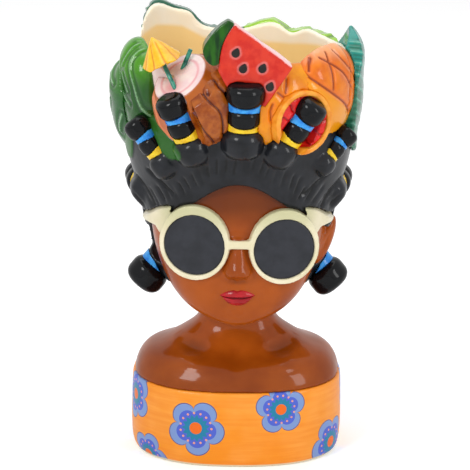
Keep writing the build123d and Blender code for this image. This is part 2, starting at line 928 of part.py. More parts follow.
# Each piece of the headdress seats on the wall and the hair and gives way to the pieces in front of it
behind = (hair_form, planter_wall.part, collar_hollow)
with BuildPart() as mouth:
    add(collar_hollow)
    split(bisect_by=Plane.XY.offset(rim_height), keep=Keep.BOTTOM)
    with BuildSketch(Plane.XY.offset(rim_height)):
        Circle(mouth_radius)
    extrude(amount=collar_top_height - rim_height)
behind_coconut = (hair_form, planter_wall.part, mouth.part)
right_braids = (masses["right_braid"], masses["far_right_braid"])
save(cut(umbrella.part, coconut_form.part), "umbrella")
save(cut(umbrella_stick, umbrella.part, coconut_form.part), "umbrella_stick")
save(cut(drinking_straw, coconut_form.part), "drinking_straw")
with BuildPart() as coconut_flesh:
    add(coconut_form.part)
    split(bisect_by=cut_plane.offset(-flesh_thickness), keep=Keep.TOP)
    with BuildSketch(cut_plane):
        Circle(flesh_ring_radius)
        Circle(flesh_ring_radius - flesh_ring_depth, mode=Mode.SUBTRACT)
    extrude(amount=-flesh_ring_depth, mode=Mode.SUBTRACT)
    for cutter in (*behind_coconut, masses["left_braid"]):
        add(cutter, mode=Mode.SUBTRACT)
save(coconut_flesh.part, "coconut_flesh")
with BuildPart() as coconut_husk:
    add(coconut_form.part)
    split(bisect_by=cut_plane.offset(-flesh_thickness), keep=Keep.BOTTOM)
    for cutter in (*behind_coconut, masses["left_braid"], masses["centre_braid"]):
        add(cutter, mode=Mode.SUBTRACT)
save(coconut_husk.part, "coconut_husk")
save(cut(rind_form.part, *behind, coconut_form.part), "melon_rind")
save(melon_seeds.part, "melon_seeds")
save(
    cut(flesh_form.part, *behind, coconut_form.part, masses["centre_braid"], melon_seeds.part),
    "melon_flesh",
)
save(cut(grapefruit_form.part, grapefruit_core.part, *behind, *right_braids), "grapefruit_rind")
with BuildPart() as grapefruit_flesh:
    add(grapefruit_core.part)
    split(bisect_by=grapefruit_plane.offset(-grapefruit_recess), keep=Keep.BOTTOM)
    for cutter in (*behind, *right_braids):
        add(cutter, mode=Mode.SUBTRACT)
save(grapefruit_flesh.part, "grapefruit_flesh")
save(
    cut(
        mango_form,
        *behind,
        grapefruit_form.part,
        flesh_form.part,
        rind_form.part,
        coconut_form.part,
        masses["centre_braid"],
        *right_braids,
    ),
    "mango",
)
save(
    cut(
        pineapple_form,
        *behind,
        grapefruit_form.part,
        mango_form,
        flesh_form.part,
        *right_braids,
    ),
    "pineapple",
)
save(
    cut(
        front_leaf_form,
        *behind,
        coconut_form.part,
        umbrella.part,
        masses["far_left_braid"],
        masses["left_braid"],
    ),
    "left_front_leaf",
)
save(cut(outer_leaf_form, *behind, front_leaf_form, masses["far_left_braid"]), "left_outer_leaf")
save(
    cut(
        flat_leaf(right_blade, right_leaf_form),
        collar_form,
        hair_form,
        pineapple_form,
        masses["far_right_braid"],
    ),
    "right_leaf",
)
above_rim = beyond_line(rim_line(back_rim_shares, back_leaf_show), rim_top, rim_depth, rim_depth)
back_cutters = (collar_form, hair_form, above_rim)
save(cut(flat_leaf(back_left_blade, leaf_form), *back_cutters, outer_leaf_form), "back_left_leaf")
save(
    cut(flat_leaf(back_right_blade, leaf_form), *back_cutters, right_blade, back_left_blade),
    "back_right_leaf",
)
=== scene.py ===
import math

import bpy
import numpy as np
from mathutils import Matrix, Vector
from mathutils.bvhtree import BVHTree

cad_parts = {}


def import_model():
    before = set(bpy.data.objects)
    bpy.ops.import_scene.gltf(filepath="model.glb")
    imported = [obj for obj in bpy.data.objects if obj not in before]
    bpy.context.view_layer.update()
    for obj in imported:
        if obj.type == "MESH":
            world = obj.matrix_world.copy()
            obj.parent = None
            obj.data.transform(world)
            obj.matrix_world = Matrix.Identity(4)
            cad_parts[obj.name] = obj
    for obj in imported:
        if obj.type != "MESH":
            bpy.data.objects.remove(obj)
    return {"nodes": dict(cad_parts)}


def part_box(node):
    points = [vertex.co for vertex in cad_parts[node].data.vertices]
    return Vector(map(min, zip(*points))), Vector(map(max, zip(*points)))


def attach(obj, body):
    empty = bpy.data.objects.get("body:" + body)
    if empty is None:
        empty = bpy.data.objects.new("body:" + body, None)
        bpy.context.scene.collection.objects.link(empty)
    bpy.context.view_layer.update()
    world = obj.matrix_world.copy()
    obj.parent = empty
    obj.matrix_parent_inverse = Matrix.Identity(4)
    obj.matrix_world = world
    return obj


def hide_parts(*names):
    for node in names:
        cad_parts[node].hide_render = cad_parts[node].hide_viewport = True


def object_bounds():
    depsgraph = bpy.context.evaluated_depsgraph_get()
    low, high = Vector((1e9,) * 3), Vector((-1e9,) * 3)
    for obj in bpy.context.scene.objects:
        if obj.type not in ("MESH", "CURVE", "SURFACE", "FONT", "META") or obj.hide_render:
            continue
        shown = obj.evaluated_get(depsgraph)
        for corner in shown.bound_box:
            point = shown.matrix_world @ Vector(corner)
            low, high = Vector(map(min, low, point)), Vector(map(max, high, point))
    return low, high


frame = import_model()
cad_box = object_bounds()

# A glazed ceramic face vase. The CAD pieces are copied, remeshed, softened as glaze softens clay, and carved
# in code. Shapes are in millimetres, glazes and the stage in metres. Azimuths are degrees from the face (-Y)
# towards +X.

MM = 0.001
UP = (0, 0, 1)
BOX_MARGIN = 0.02

# Stage
FLOOR_HALF = 3.0
FLOOR_GLOW = 0.26
WORLD_LIGHT = 0.55
LAMP_TARGET = (0, 0, 0.14)
LAMPS = (  # name, place, size and power
    ("key", (-0.9, -1.2, 1.1), (0.5, 0.6), 11.0),
    ("fill", (1.2, -0.9, 0.7), (0.4, 0.9), 7.0),
    ("top", (0.0, 0.3, 1.6), (1.2, 1.2), 8.0),
)
CAMERA_DISTANCE = 1.5
CAMERA_ELEVATION = 17.0
CAMERA_ROLL = 0.6
CAMERA_LENS = 191.5
TARGET_HEIGHT = 0.131
FRAME_PIXELS = 470
SIDE_SHIFT_PIXELS = 3

# Dress
DRESS_ROUNDNESS = 2.35
TANGENT_STEP = 1.0
PETAL_COUNT = 5
DOT_COUNT = 15
WHOLE_TURNS = 10 * math.pi
BLOSSOMS = (  # azimuth, height, radius and turn
    (-27, 25, 17.0, 0.2),
    (30, 37, 15.0, 0.9),
    (66, 9, 16.0, 0.4),
    (-73, 36, 15.5, 0.6),
    (-60, 2, 14.0, 0.1),
    (96, 36, 15.0, 1.1),
    (128, 14, 16.5, 0.3),
    (163, 33, 16.0, 0.8),
    (-162, 8, 15.5, 0.2),
    (-133, 32, 16.5, 1.2),
    (-101, 9, 15.0, 0.5),
)
BLOSSOM_PAINTS = (  # each is painted over the ones before
    ("Edge", (84, 84, 128)),
    ("Petals", (122, 150, 204)),
    ("Inner", (76, 98, 202)),
    ("Ring", (26, 126, 162)),
    ("Core", (236, 106, 16)),
    ("Dots", (232, 158, 130)),
)

# Face
FACE_FORMS = (  # side, height, radius and rise
    (0, 123.5, 7.5, 1.0),  # nose
    (6.0, 121.6, 4.6, 1.5),  # nose wings
    (2.8, 118.6, 2.2, -1.1),  # nostrils
    (27, 117, 20, 1.3),  # cheeks
    (0, 109, 12, 1.0),  # mouth
    (0, 101.5, 6, -0.9),  # hollow under the mouth
    (0, 95.5, 9, 1.2),  # chin
    (0, 115.6, 2.2, -0.5),  # groove above the mouth
    (12.5, 108.8, 3.0, -0.5),  # corners of the mouth
)
FACE_FRONT = (22, 34)
COLLARBONE_HOLLOW = ((27, 68.5), (12, 5.0))
COLLARBONE_RIDGE = ((26, 61), (15, 4.5))
THROAT_NOTCH = ((0, 64), (8, 7))
HOLLOW_DEPTH = 2.2
RIDGE_RISE = 0.9
NOTCH_DEPTH = 0.9
NOSE_SHADOW = ((0, 117.3), (8.5, 2.2))
BROW_SHADE = (146, 164)
CHEST_SHADE = (74, 52)
EAR_SIDE = 53.5
EAR_HEIGHT = 130
EAR_LEAN = 20
EAR_HOLLOW = ((0.2, -0.5), (3.4, 10.5))
EAR_DEPTH = 2.0
LIP_COLUMNS = 49
LIP_ROWS = 33
LIP_HALF_WIDTH = 10.2
LIP_LINE = 109.0
UPPER_LIP_RISE = 3.7
UPPER_LIP_DIP = 0.8
PARTING_DROP = 1.1
LOWER_LIP_DROP = 5.6
UPPER_LIP_BULGE = 1.5
LOWER_LIP_BULGE = 1.9
LIP_SINK = 1.2
ARM_DROP = 5.5
ARM_SIDE = (44, 60)
ARM_HEIGHT = (130, 144)
LENS_BULGE = 0.9
LENS_RADIUS = 20

# Hair and braids
COMB_FOCUS_HEIGHT = 100.0
COMB_STEP = 3.3
BACK_COMB_STEP = 7.5
COMB_DEPTH = 1.5
STROKE_WIDTH = 0.17
BACK_STROKE_WIDTH = 0.13
LOCK_WIDTH = 0.9
HAIR_FRONT = (4, 16)
HAIRLINE_X = (-67.5, -58.0, -46.6, -28.4, -13.5, 0.0, 13.5, 28.4, 46.6, 58.0, 67.5)
HAIRLINE_Z = (142.0, 143.0, 149.8, 161.7, 172.6, 177.0, 172.6, 161.7, 149.8, 143.0, 142.0)
LONG_LOCKS = (
    ((53, 180), (46, 175), (38, 168.5)),
    ((60, 172), (54, 166), (49, 158)),
    ((-53, 180), (-46, 175), (-38, 168.5)),
    ((-60, 172), (-54, 166), (-49, 158)),
)
TEMPLE_DROP = 4.0
TEMPLE_INNER = (42, 52)
TEMPLE_OUTER = (63, 56)
TEMPLE_HEIGHT = (162, 146)
STRAND_SINK = 1.0
BEAD_RIPPLE = 0.22

# Planter wall: where the darker glaze painted as shadow on its inner face ends, and the place where the
# coconut's glaze ran over it
SHADOW_LINE_X = (-60.0, -50.0, -35.0, -22.0, 0.0, 30.0, 43.0, 60.0)
SHADOW_LINE_Z = (250.0, 253.0, 249.0, 241.0, 238.0, 238.5, 240.7, 243.0)
SPILL_MIDDLE = (-49.0, -36.0, 238.0)
SPILL_EDGE = (13, 11)
SPILL_LIFT = 4.0
LIFT_EDGE = (12, 5)
WALL_RIM = (233, 239)
WALL_RADIUS = 70
OUTER_FACING = (-0.1, 0.2)

# Coconut and umbrella: cracks are given as side and height
COCONUT_TURN = -50.0
COCONUT_RISE = 46.5
COCONUT_SHIFT = (-1.8, 1.2, -0.5)
COCONUT_WHITE = 17.0
COCONUT_RING = 0.74
RING_WIDTH = 1.4
BLUSH_SHIFT = (-5, -4, -4)
BLUSH_RADIUS = 9
FLESH_SLOPE = 1.5
HUSK_SLOPE = 0.3
HUSK_CRACKS = (
    ((-31.5, 232), (-28.5, 229), (-25, 223.5), (-22.5, 217), (-18.5, 211), (-15, 205.5), (-13, 200)),
    ((-25, 238.5), (-23, 236.5), (-19.5, 233), (-16, 229.5), (-12.5, 226.5), (-10, 222.5), (-9, 217),
     (-9, 210)),
    ((-16.5, 242), (-14.5, 241), (-11.5, 238), (-8, 234.5), (-6, 231)),
    ((-38.5, 223), (-36, 216), (-33, 209), (-30.5, 202)),
)
HUSK_EYE = (-18.0, 234.5)
HUSK_EYE_RADIUS = 2.4
CRACK_WIDTH = 0.75
CRACK_DEPTH = 1.3
STICK_END_POINTS = 20
UMBRELLA_PLEATS = 9
UMBRELLA_DROOP = 6.5

# Other fruits: carved lines are given as azimuth and height
SEED_SAMPLES = 400
GRAPEFRUIT_AZIMUTH = 32
GRAPEFRUIT_HEIGHT = 215.8
GRAPEFRUIT_REACH = 74
PULP_OUT = (0.53, -0.85, 0)
SEGMENT_COUNT = 11
PULP_FOLD_WIDTH = 0.7
FRUIT_RADIUS = 71
GROOVE_WIDTH = 0.85
PUFF_WIDTH = 3.0
PINEAPPLE_LINES = (
    ((41.5, 251), (39, 248), (37.5, 244.5)),
    ((52, 253), (50.5, 248), (50.5, 241), (50, 232)),
    ((46, 251), (50, 248), (58.5, 241), (64, 234), (68, 229)),
    ((58, 253), (62, 246.5), (70.5, 236), (77, 225)),
    ((70, 251), (68.5, 243), (66, 234), (64.5, 224)),
    ((65.5, 222), (64, 217)),
    ((80, 247), (79, 236), (76.5, 222), (72, 211)),
)
PINEAPPLE_FOLD = ((31.5, 248), (38, 240), (49.5, 230), (61, 221), (68, 214))
PINEAPPLE_CROP = (236, 0.84)
MANGO_LINES = (
    ((24.5, 241.5), (24, 239), (23, 234)),
    ((19, 234.5), (21, 232.5), (24, 230.5)),
    ((16, 228), (15, 224), (15.5, 219)),
)

# Leaves: ribs are given as azimuth and height, the strip on the hair as side and height
LEFT_LEAF_RIBS = (
    ((-86, 245), (-83.5, 239), (-79.5, 234.5), (-78.5, 229), (-75.5, 223.5)),
    ((-71, 252), (-71.5, 249), (-72, 244), (-74, 239)),
    ((-66, 250), (-66.5, 243.5), (-65, 238.5), (-63, 232), (-61, 225.5), (-58, 218.5), (-54, 212.5)),
    ((-73.5, 235), (-71.5, 229.5), (-68, 225)),
    ((-83, 229), (-77.5, 225), (-72.5, 221), (-66, 218)),
)
OUTER_LEAF_RIBS = (
    ((-94, 238), (-90, 234), (-84, 229.5), (-80, 227)),
    ((-92, 226), (-95, 214), (-96, 198)),
    ((-108, 234), (-102, 227), (-95, 217)),
    ((-76, 209), (-78.5, 203.5), (-80.5, 198)),
    ((-86, 216), (-90, 208), (-92, 200)),
)
LEAF_FOOT = 184
LEAF_SWELL = 2.4
RIB_WIDTH = 0.6
VALLEY_OFFSET = 2.2
VALLEY_WIDTH = 1.3
BACK_LEAF_RADIUS = 69
LEAF_STRIP = ((-53, 214), (-49, 206.5), (-43.5, 201), (-38, 196))
LEAF_LOBE = (-64.0, -14.0, 198.0)
LEAF_LOBE_SHAPE = (1.0, 0.75, 0.55)
HAIR_LEAF_RELIEF = 0.9


def colour(red, green, blue):
    """A linear colour from screen values of 0 to 255."""
    return tuple(
        (v / 255 / 12.92) if v / 255 <= 0.04045 else ((v / 255 + 0.055) / 1.055) ** 2.4
        for v in (red, green, blue)
    ) + (1.0,)


class Glaze:
    """A painted and glazed surface, built from nodes."""

    def __init__(self, name, roughness=0.24, coat=0.3, coat_roughness=0.06, shine=0.22):
        self.material = bpy.data.materials.new(name)
        self.material.use_nodes = True
        self.nodes = self.material.node_tree.nodes
        self.links = self.material.node_tree.links
        self.shader = self.nodes["Principled BSDF"]
        self.shader.inputs["Roughness"].default_value = roughness
        self.shader.inputs["Specular IOR Level"].default_value = shine
        self.shader.inputs["Coat Weight"].default_value = coat
        self.shader.inputs["Coat Roughness"].default_value = coat_roughness
        self.place = self.nodes.new("ShaderNodeTexCoord").outputs["Object"]

    def set(self, socket, value):
        """Links an output to a socket, or sets the socket."""
        if isinstance(value, bpy.types.NodeSocket):
            self.links.new(value, socket)
        else:
            socket.default_value = value

    def math(self, operation, a, b):
        node = self.nodes.new("ShaderNodeMath")
        node.operation = operation
        self.set(node.inputs[0], a)
        self.set(node.inputs[1], b)
        return node.outputs[0]

    def noise(self, size, detail=3.0, stretch=(1, 1, 1)):
        """Noise from 0 to 1 whose features are about size metres wide."""
        mapping = self.nodes.new("ShaderNodeMapping")
        mapping.inputs["Scale"].default_value = [1 / (size * s) for s in stretch]
        self.links.new(self.place, mapping.inputs["Vector"])
        node = self.nodes.new("ShaderNodeTexNoise")
        node.inputs["Scale"].default_value = 1.0
        node.inputs["Detail"].default_value = detail
        node.inputs["Roughness"].default_value = 0.55
        self.links.new(mapping.outputs["Vector"], node.inputs["Vector"])
        return node.outputs["Fac"]

    def mark(self, name):
        """A value that the carving left on the mesh."""
        node = self.nodes.new("ShaderNodeAttribute")
        node.attribute_name = name
        return node.outputs["Fac"]

    def step(self, value, low, high):
        """0 below low and 1 above high, smooth in between."""
        node = self.nodes.new("ShaderNodeMapRange")
        node.interpolation_type = "SMOOTHSTEP"
        self.set(node.inputs["Value"], value)
        node.inputs["From Min"].default_value = low
        node.inputs["From Max"].default_value = high
        return node.outputs["Result"]

    def mix(self, share, first, second):
        """From the first colour at share 0 to the second at 1."""
        node = self.nodes.new("ShaderNodeMix")
        node.data_type = "RGBA"
        self.set(node.inputs["Factor"], share)
        self.set(node.inputs["A"], first)
        self.set(node.inputs["B"], second)
        return node.outputs["Result"]

    def height(self):
        """The height above the foot."""
        node = self.nodes.new("ShaderNodeSeparateXYZ")
        self.links.new(self.place, node.inputs[0])
        return node.outputs["Z"]

    def paint(self, value):
        self.set(self.shader.inputs["Base Color"], value)

    def bump(self, value, depth):
        """Raises the surface by up to the depth where the value is 1."""
        node = self.nodes.new("ShaderNodeBump")
        node.inputs["Strength"].default_value = 1.0
        node.inputs["Distance"].default_value = depth
        self.links.new(value, node.inputs["Height"])
        self.links.new(node.outputs["Normal"], self.shader.inputs["Normal"])


def mottled(name, tone, other, size=0.012, span=(0.3, 0.72), stretch=(1, 1, 1), within=None, marks=(),
            grain=(0.007, 0.00012, 2.0), grain_stretch=(1, 1, 1), **finish):
    """A glaze that wanders between two tones, with marks painted over them and a fine grain.

    The other tone keeps to the mark called within. Grain is the size, depth and detail of the unevenness.
    """
    glaze = Glaze(name, **finish)
    wander = glaze.step(glaze.noise(size, stretch=stretch), *span)
    if within:
        wander = glaze.math("MULTIPLY", glaze.mark(within), wander)
    paint = glaze.mix(wander, colour(*tone), colour(*other))
    for mark, over in marks:
        paint = glaze.mix(glaze.mark(mark), paint, colour(*over))
    glaze.paint(paint)
    grain_size, depth, detail = grain
    glaze.bump(glaze.noise(grain_size, detail, grain_stretch), depth)
    return glaze


# Mesh tools

def copied(label, nodes, voxel, repeats):
    """The shapes of some CAD nodes as one even mesh with softened edges."""
    points, faces = [], []
    for node in nodes:
        mesh = frame["nodes"][node].data
        start = len(points)
        points += [vertex.co.copy() for vertex in mesh.vertices]
        faces += [[start + i for i in face.vertices] for face in mesh.polygons]
    piece = meshed(label, points, faces)
    remesh = piece.modifiers.new("remesh", "REMESH")
    remesh.mode = "VOXEL"
    remesh.voxel_size = voxel * MM
    settled(piece)
    softened(piece, repeats)
    return piece


def meshed(label, points, faces):
    mesh = bpy.data.meshes.new(label)
    mesh.from_pydata(points, [], faces)
    mesh.validate()
    piece = bpy.data.objects.new(label, mesh)
    bpy.context.scene.collection.objects.link(piece)
    return piece


def settled(piece):
    """Applies the piece's modifiers."""
    bpy.context.view_layer.update()
    shaped = piece.evaluated_get(bpy.context.evaluated_depsgraph_get())
    piece.data = bpy.data.meshes.new_from_object(shaped)
    piece.modifiers.clear()
    piece.data.shade_smooth()


def softened(piece, repeats):
    smooth = piece.modifiers.new("soften", "SMOOTH")
    smooth.factor = 0.5
    smooth.iterations = repeats
    settled(piece)


def points_of(piece):
    values = np.empty(len(piece.data.vertices) * 3)
    piece.data.vertices.foreach_get("co", values)
    return values.reshape(-1, 3) / MM


def normals_of(piece):
    values = np.empty(len(piece.data.vertices) * 3)
    piece.data.vertices.foreach_get("normal", values)
    return values.reshape(-1, 3)


def carved(piece, offset, normals=None):
    """Moves each point by an offset, along its normal or as a vector."""
    if offset.ndim == 1:
        offset = offset[:, None] * (normals_of(piece) if normals is None else normals)
    piece.data.vertices.foreach_set("co", ((points_of(piece) + offset) * MM).ravel())
    piece.data.update()


def lifted(piece, amount):
    """Moves each point up by an amount, or down where it is negative."""
    carved(piece, np.outer(amount, UP))


def marked(piece, name, values):
    attribute = piece.data.attributes.new(name, "FLOAT", "POINT")
    attribute.data.foreach_set("value", values.astype(np.float32))


def finished(piece, glaze, nodes):
    """The piece kept inside the CAD box, painted, riding on the body and standing for its CAD nodes."""
    low, high = (np.array(corner) / MM for corner in cad_box)
    points = points_of(piece)
    carved(piece, np.clip(points, low + BOX_MARGIN, high - BOX_MARGIN) - points)
    piece.data.materials.clear()
    piece.data.materials.append(glaze.material)
    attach(piece, "root")
    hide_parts(*nodes)
    return piece


def step(values, low, high):
    """0 below low and 1 above high, smooth in between."""
    share = np.clip((values - low) / (high - low), 0, 1)
    return share * share * (3 - 2 * share)


def dome(distance, radius=1.0):
    """1 at no distance, falling smoothly to 0 at the radius."""
    return np.clip(1 - (distance / radius) ** 2, 0, 1) ** 2


def oval(across, up, middle, radii):
    """1 in the middle of an oval, falling smoothly to 0 at its edge."""
    return dome(np.hypot((across - middle[0]) / radii[0], (up - middle[1]) / radii[1]))


def trench(distance, width):
    return np.exp(-((distance / width) ** 2))


def direction(azimuth, rise=0.0):
    """The unit vector towards an azimuth, rising above the level by an angle."""
    turn, lift = math.radians(azimuth), math.radians(rise)
    return np.array((math.sin(turn) * math.cos(lift), -math.cos(turn) * math.cos(lift), math.sin(lift)))


def distance_to(points, path):
    """The distance from each point to a smooth line through the path's points."""
    path = smooth_line(np.array(path, float))
    nearest = np.full(len(points), np.inf)
    for start, end in zip(path, path[1:]):
        run = end - start
        share = np.clip((points - start) @ run / (run @ run), 0, 1)
        nearest = np.minimum(nearest, np.linalg.norm(points - start - share[:, None] * run, axis=1))
    return nearest


def smooth_line(path, pieces=6):
    """Points along a curve that passes through the path's points."""
    ends = np.vstack([2 * path[0] - path[1], path, 2 * path[-1] - path[-2]])
    line = []
    for a, b, c, d in zip(ends, ends[1:], ends[2:], ends[3:]):
        for share in np.arange(pieces) / pieces:
            line.append(
                0.5 * (2 * b + (c - a) * share + (2 * a - 5 * b + 4 * c - d) * share**2
                       + (3 * b - a - 3 * c + d) * share**3)
            )
    return np.array(line + [path[-1]])


def distances(points, paths):
    """The distance from each point to each smooth line, one row for each line."""
    return np.array([distance_to(points, path) for path in paths])


def wrapped(points):
    """Each point's azimuth and height."""
    return np.degrees(np.arctan2(points[:, 0], -points[:, 1])), points[:, 2]


def wrapped_distances(points, paths, radius):
    """Distances on a surface of that radius to lines given as azimuths and heights."""
    azimuth, height = wrapped(points)
    scale = math.radians(1) * radius
    flat = np.column_stack([azimuth * scale, height])
    return distances(flat, [[(a * scale, z) for a, z in path] for path in paths])


def facing_out(points, normals, reach):
    """How far each normal points away from the axis, for points at that reach from it."""
    return (normals[:, 0] * points[:, 0] + normals[:, 1] * points[:, 1]) / reach


def box_middle(node):
    """The middle of a CAD node's box."""
    low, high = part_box(node)
    return np.array((low + high) / 2) / MM


def lowered(piece, start, share):
    """Brings down what stands above a start height, to a share of its own height."""
    above = np.clip(points_of(piece)[:, 2] - start, 0, None)
    lifted(piece, (share - 1) * above)


def nestled(piece, strand, half_width, spread, rise):
    """Presses the piece back round a strand of beads, so that the strand lies proud on it."""
    boxes = [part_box(node) for node in frame["nodes"] if node.startswith(strand)]
    middles = np.array(sorted(((low + high) / 2 / MM for low, high in boxes), key=lambda middle: middle.z))
    out = middles.mean(0) * (1, 1, 0)
    out /= np.linalg.norm(out)
    across = np.cross(UP, out)
    points = points_of(piece)
    flat = np.column_stack([points @ across, points[:, 2]])
    away = distance_to(flat, np.column_stack([middles @ across, middles[:, 2]]))
    seat = np.interp(points[:, 2], middles[:, 2], middles @ out) - STRAND_SINK
    limit = seat + rise * step(away, half_width, half_width + spread)
    carved(piece, np.outer(np.minimum(0, limit - points @ out), out))


def scattered(index):
    """A number from 0 to 1 that seems random, from a whole number."""
    return np.modf(np.abs(np.sin(index * 12.9898 + 4.137) * 43758.5453))[0]


def ripple(points, size, seed=0.0):
    """A soft, hand-made unevenness from -1 to 1."""
    x, y, z = points.T / size
    return (
        np.sin(x * 1.7 + 1.3 * np.sin(z + seed)) + np.sin(y * 1.9 + 1.1 * np.sin(x * 0.8 + seed))
        + np.sin(z * 1.6 + 1.2 * np.sin(y * 1.1 - seed))
    ) / 3


# Glazes

skin_glaze = mottled(
    "skin", (172, 82, 18), (144, 62, 8), size=0.03, span=(0.3, 0.75), marks=(("shade", (92, 38, 2)),),
    grain=(0.009, 0.00012, 2.0), roughness=0.3, coat=0.36, coat_roughness=0.07, shine=0.05,
)
lip_glaze = mottled(
    "lip_red", (186, 26, 36), (150, 14, 24), size=0.005, marks=(("groove", (84, 6, 12)),),
    grain=(0.004, 0.0001, 3.0), coat=0.2,
)
hair_glaze = mottled(
    "hair_glaze", (31, 33, 38), (18, 20, 24), size=0.01, span=(0.35, 0.7),
    marks=(("groove", (8, 10, 11)), ("leaf", (44, 98, 34))),
    grain=(0.006, 0.00015, 2.0), roughness=0.34, coat=0.34, coat_roughness=0.08, shine=0.12,
)
bead_glaze = mottled("bead", (17, 19, 22), (9, 10, 12), roughness=0.25, coat_roughness=0.05, shine=0.04)
blue_glaze = mottled("blue_tie", (60, 165, 240), (25, 120, 215), size=0.004)
yellow_glaze = mottled("yellow_tie", (250, 215, 40), (228, 180, 15), size=0.004)
frame_glaze = mottled(
    "frame_cream", (238, 228, 198), (226, 216, 178), size=0.016, span=(0.3, 0.7),
    marks=(("shade", (198, 196, 152)),), grain=(0.008, 0.0001, 2.0), roughness=0.28,
)
lens_glaze = mottled(
    "lens_black", (44, 46, 53), (34, 36, 42), size=0.01, roughness=0.3, coat=0.2, coat_roughness=0.12
)
wall_glaze = mottled(
    "planter_cream", (255, 247, 226), (255, 241, 212), size=0.03, span=(0.3, 0.7),
    # the deep mark is painted shadow on the lower inner face of the wall
    marks=(("deep", (255, 219, 146)), ("spill", (250, 226, 222))), grain=(0.008, 0.00015, 2.0), roughness=0.3,
)
flesh_glaze = mottled(
    "coconut_white", (252, 236, 230), (246, 216, 218), size=0.008, span=(0.3, 0.7),
    marks=(("blush", (238, 142, 146)), ("groove", (236, 150, 160)), ("rim", (178, 92, 28))),
    grain=(0.004, 0.00015, 3.0), roughness=0.22,
)
husk_glaze = mottled(
    "husk_brown", (178, 94, 24), (132, 54, 4), size=0.007, span=(0.3, 0.7),
    marks=(("blush", (238, 140, 96)), ("groove", (84, 24, 6))), grain=(0.003, 0.00035, 3.0), roughness=0.26,
)
stick_glaze = mottled("stick_green", (70, 165, 140), (20, 95, 85), size=0.003)
umbrella_glaze = mottled(
    "umbrella_yellow", (252, 200, 40), (242, 176, 16), size=0.006, span=(0.3, 0.7),
    marks=(("groove", (216, 112, 8)),), grain=(0.004, 0.0001, 3.0),
)
rind_glaze = mottled(
    "rind_green", (38, 96, 16), (10, 52, 14), size=0.004, span=(0.35, 0.65), stretch=(1, 1, 4),
    grain=(0.006, 0.0002, 3.0), roughness=0.22, shine=0.1,
)
seed_glaze = mottled("seed_black", (28, 24, 18), (12, 12, 12), size=0.003)
melon_glaze = mottled(
    "melon_red", (216, 54, 32), (200, 30, 16), size=0.006, span=(0.35, 0.7),
    marks=(("halo", (240, 130, 125)), ("top", (246, 190, 190))), grain=(0.005, 0.0002, 3.0),
)
peel_glaze = mottled("peel_orange", (250, 170, 58), (232, 134, 24), size=0.006)
pulp_glaze = mottled(
    "pulp_red", (234, 36, 32), (208, 12, 12), size=0.005, span=(0.35, 0.65),
    marks=(("groove", (160, 8, 10)),), grain=(0.002, 0.0002, 3.0), roughness=0.2,
)
fruit_glazes = {
    fruit: mottled(
        f"{fruit}_orange", tone, other, size=0.011, span=(0.3, 0.7),
        marks=(
            ("below", (238, 152, 16)), ("edge", (240, 120, 28)), ("top", (250, 196, 150)), ("groove", line),
        ),
        grain=(0.003, 0.0002, 3.0), grain_stretch=(1, 1, 3), roughness=0.22,
    )
    for fruit, tone, other, line in (
        ("pineapple", (236, 130, 16), (212, 98, 4), (146, 54, 2)),
        ("mango", (240, 154, 10), (224, 126, 2), (160, 70, 2)),
    )
}
leaf_glazes = {
    leaf: mottled(
        f"{leaf}_leaf_green", deep, bright, size=0.008, span=(0.15, 0.5), within="top",
        marks=(("groove", (16, 58, 26)), ("vein", vein)), grain=(0.005, 0.0002, 3.0), roughness=0.2, coat=0.4,
    )
    for leaf, bright, deep, vein in (
        ("left", (72, 146, 10), (34, 88, 28), (150, 196, 148)),
        ("outer", (62, 122, 44), (38, 94, 40), (170, 208, 168)),
        ("right", (16, 140, 128), (44, 120, 92), (120, 186, 164)),
        ("back", (30, 96, 74), (34, 100, 58), (120, 176, 130)),
        ("back_right", (150, 200, 40), (60, 138, 48), (160, 206, 120)),
    )
}


# Pieces: dress

def lower_body():
    """The foot and dress band."""
    piece = copied("dress", ["dress_base"], voxel=1.0, repeats=4)
    carved(piece, 0.12 * ripple(points_of(piece), 9))
    finished(piece, dress_glaze(), ["dress_base"])


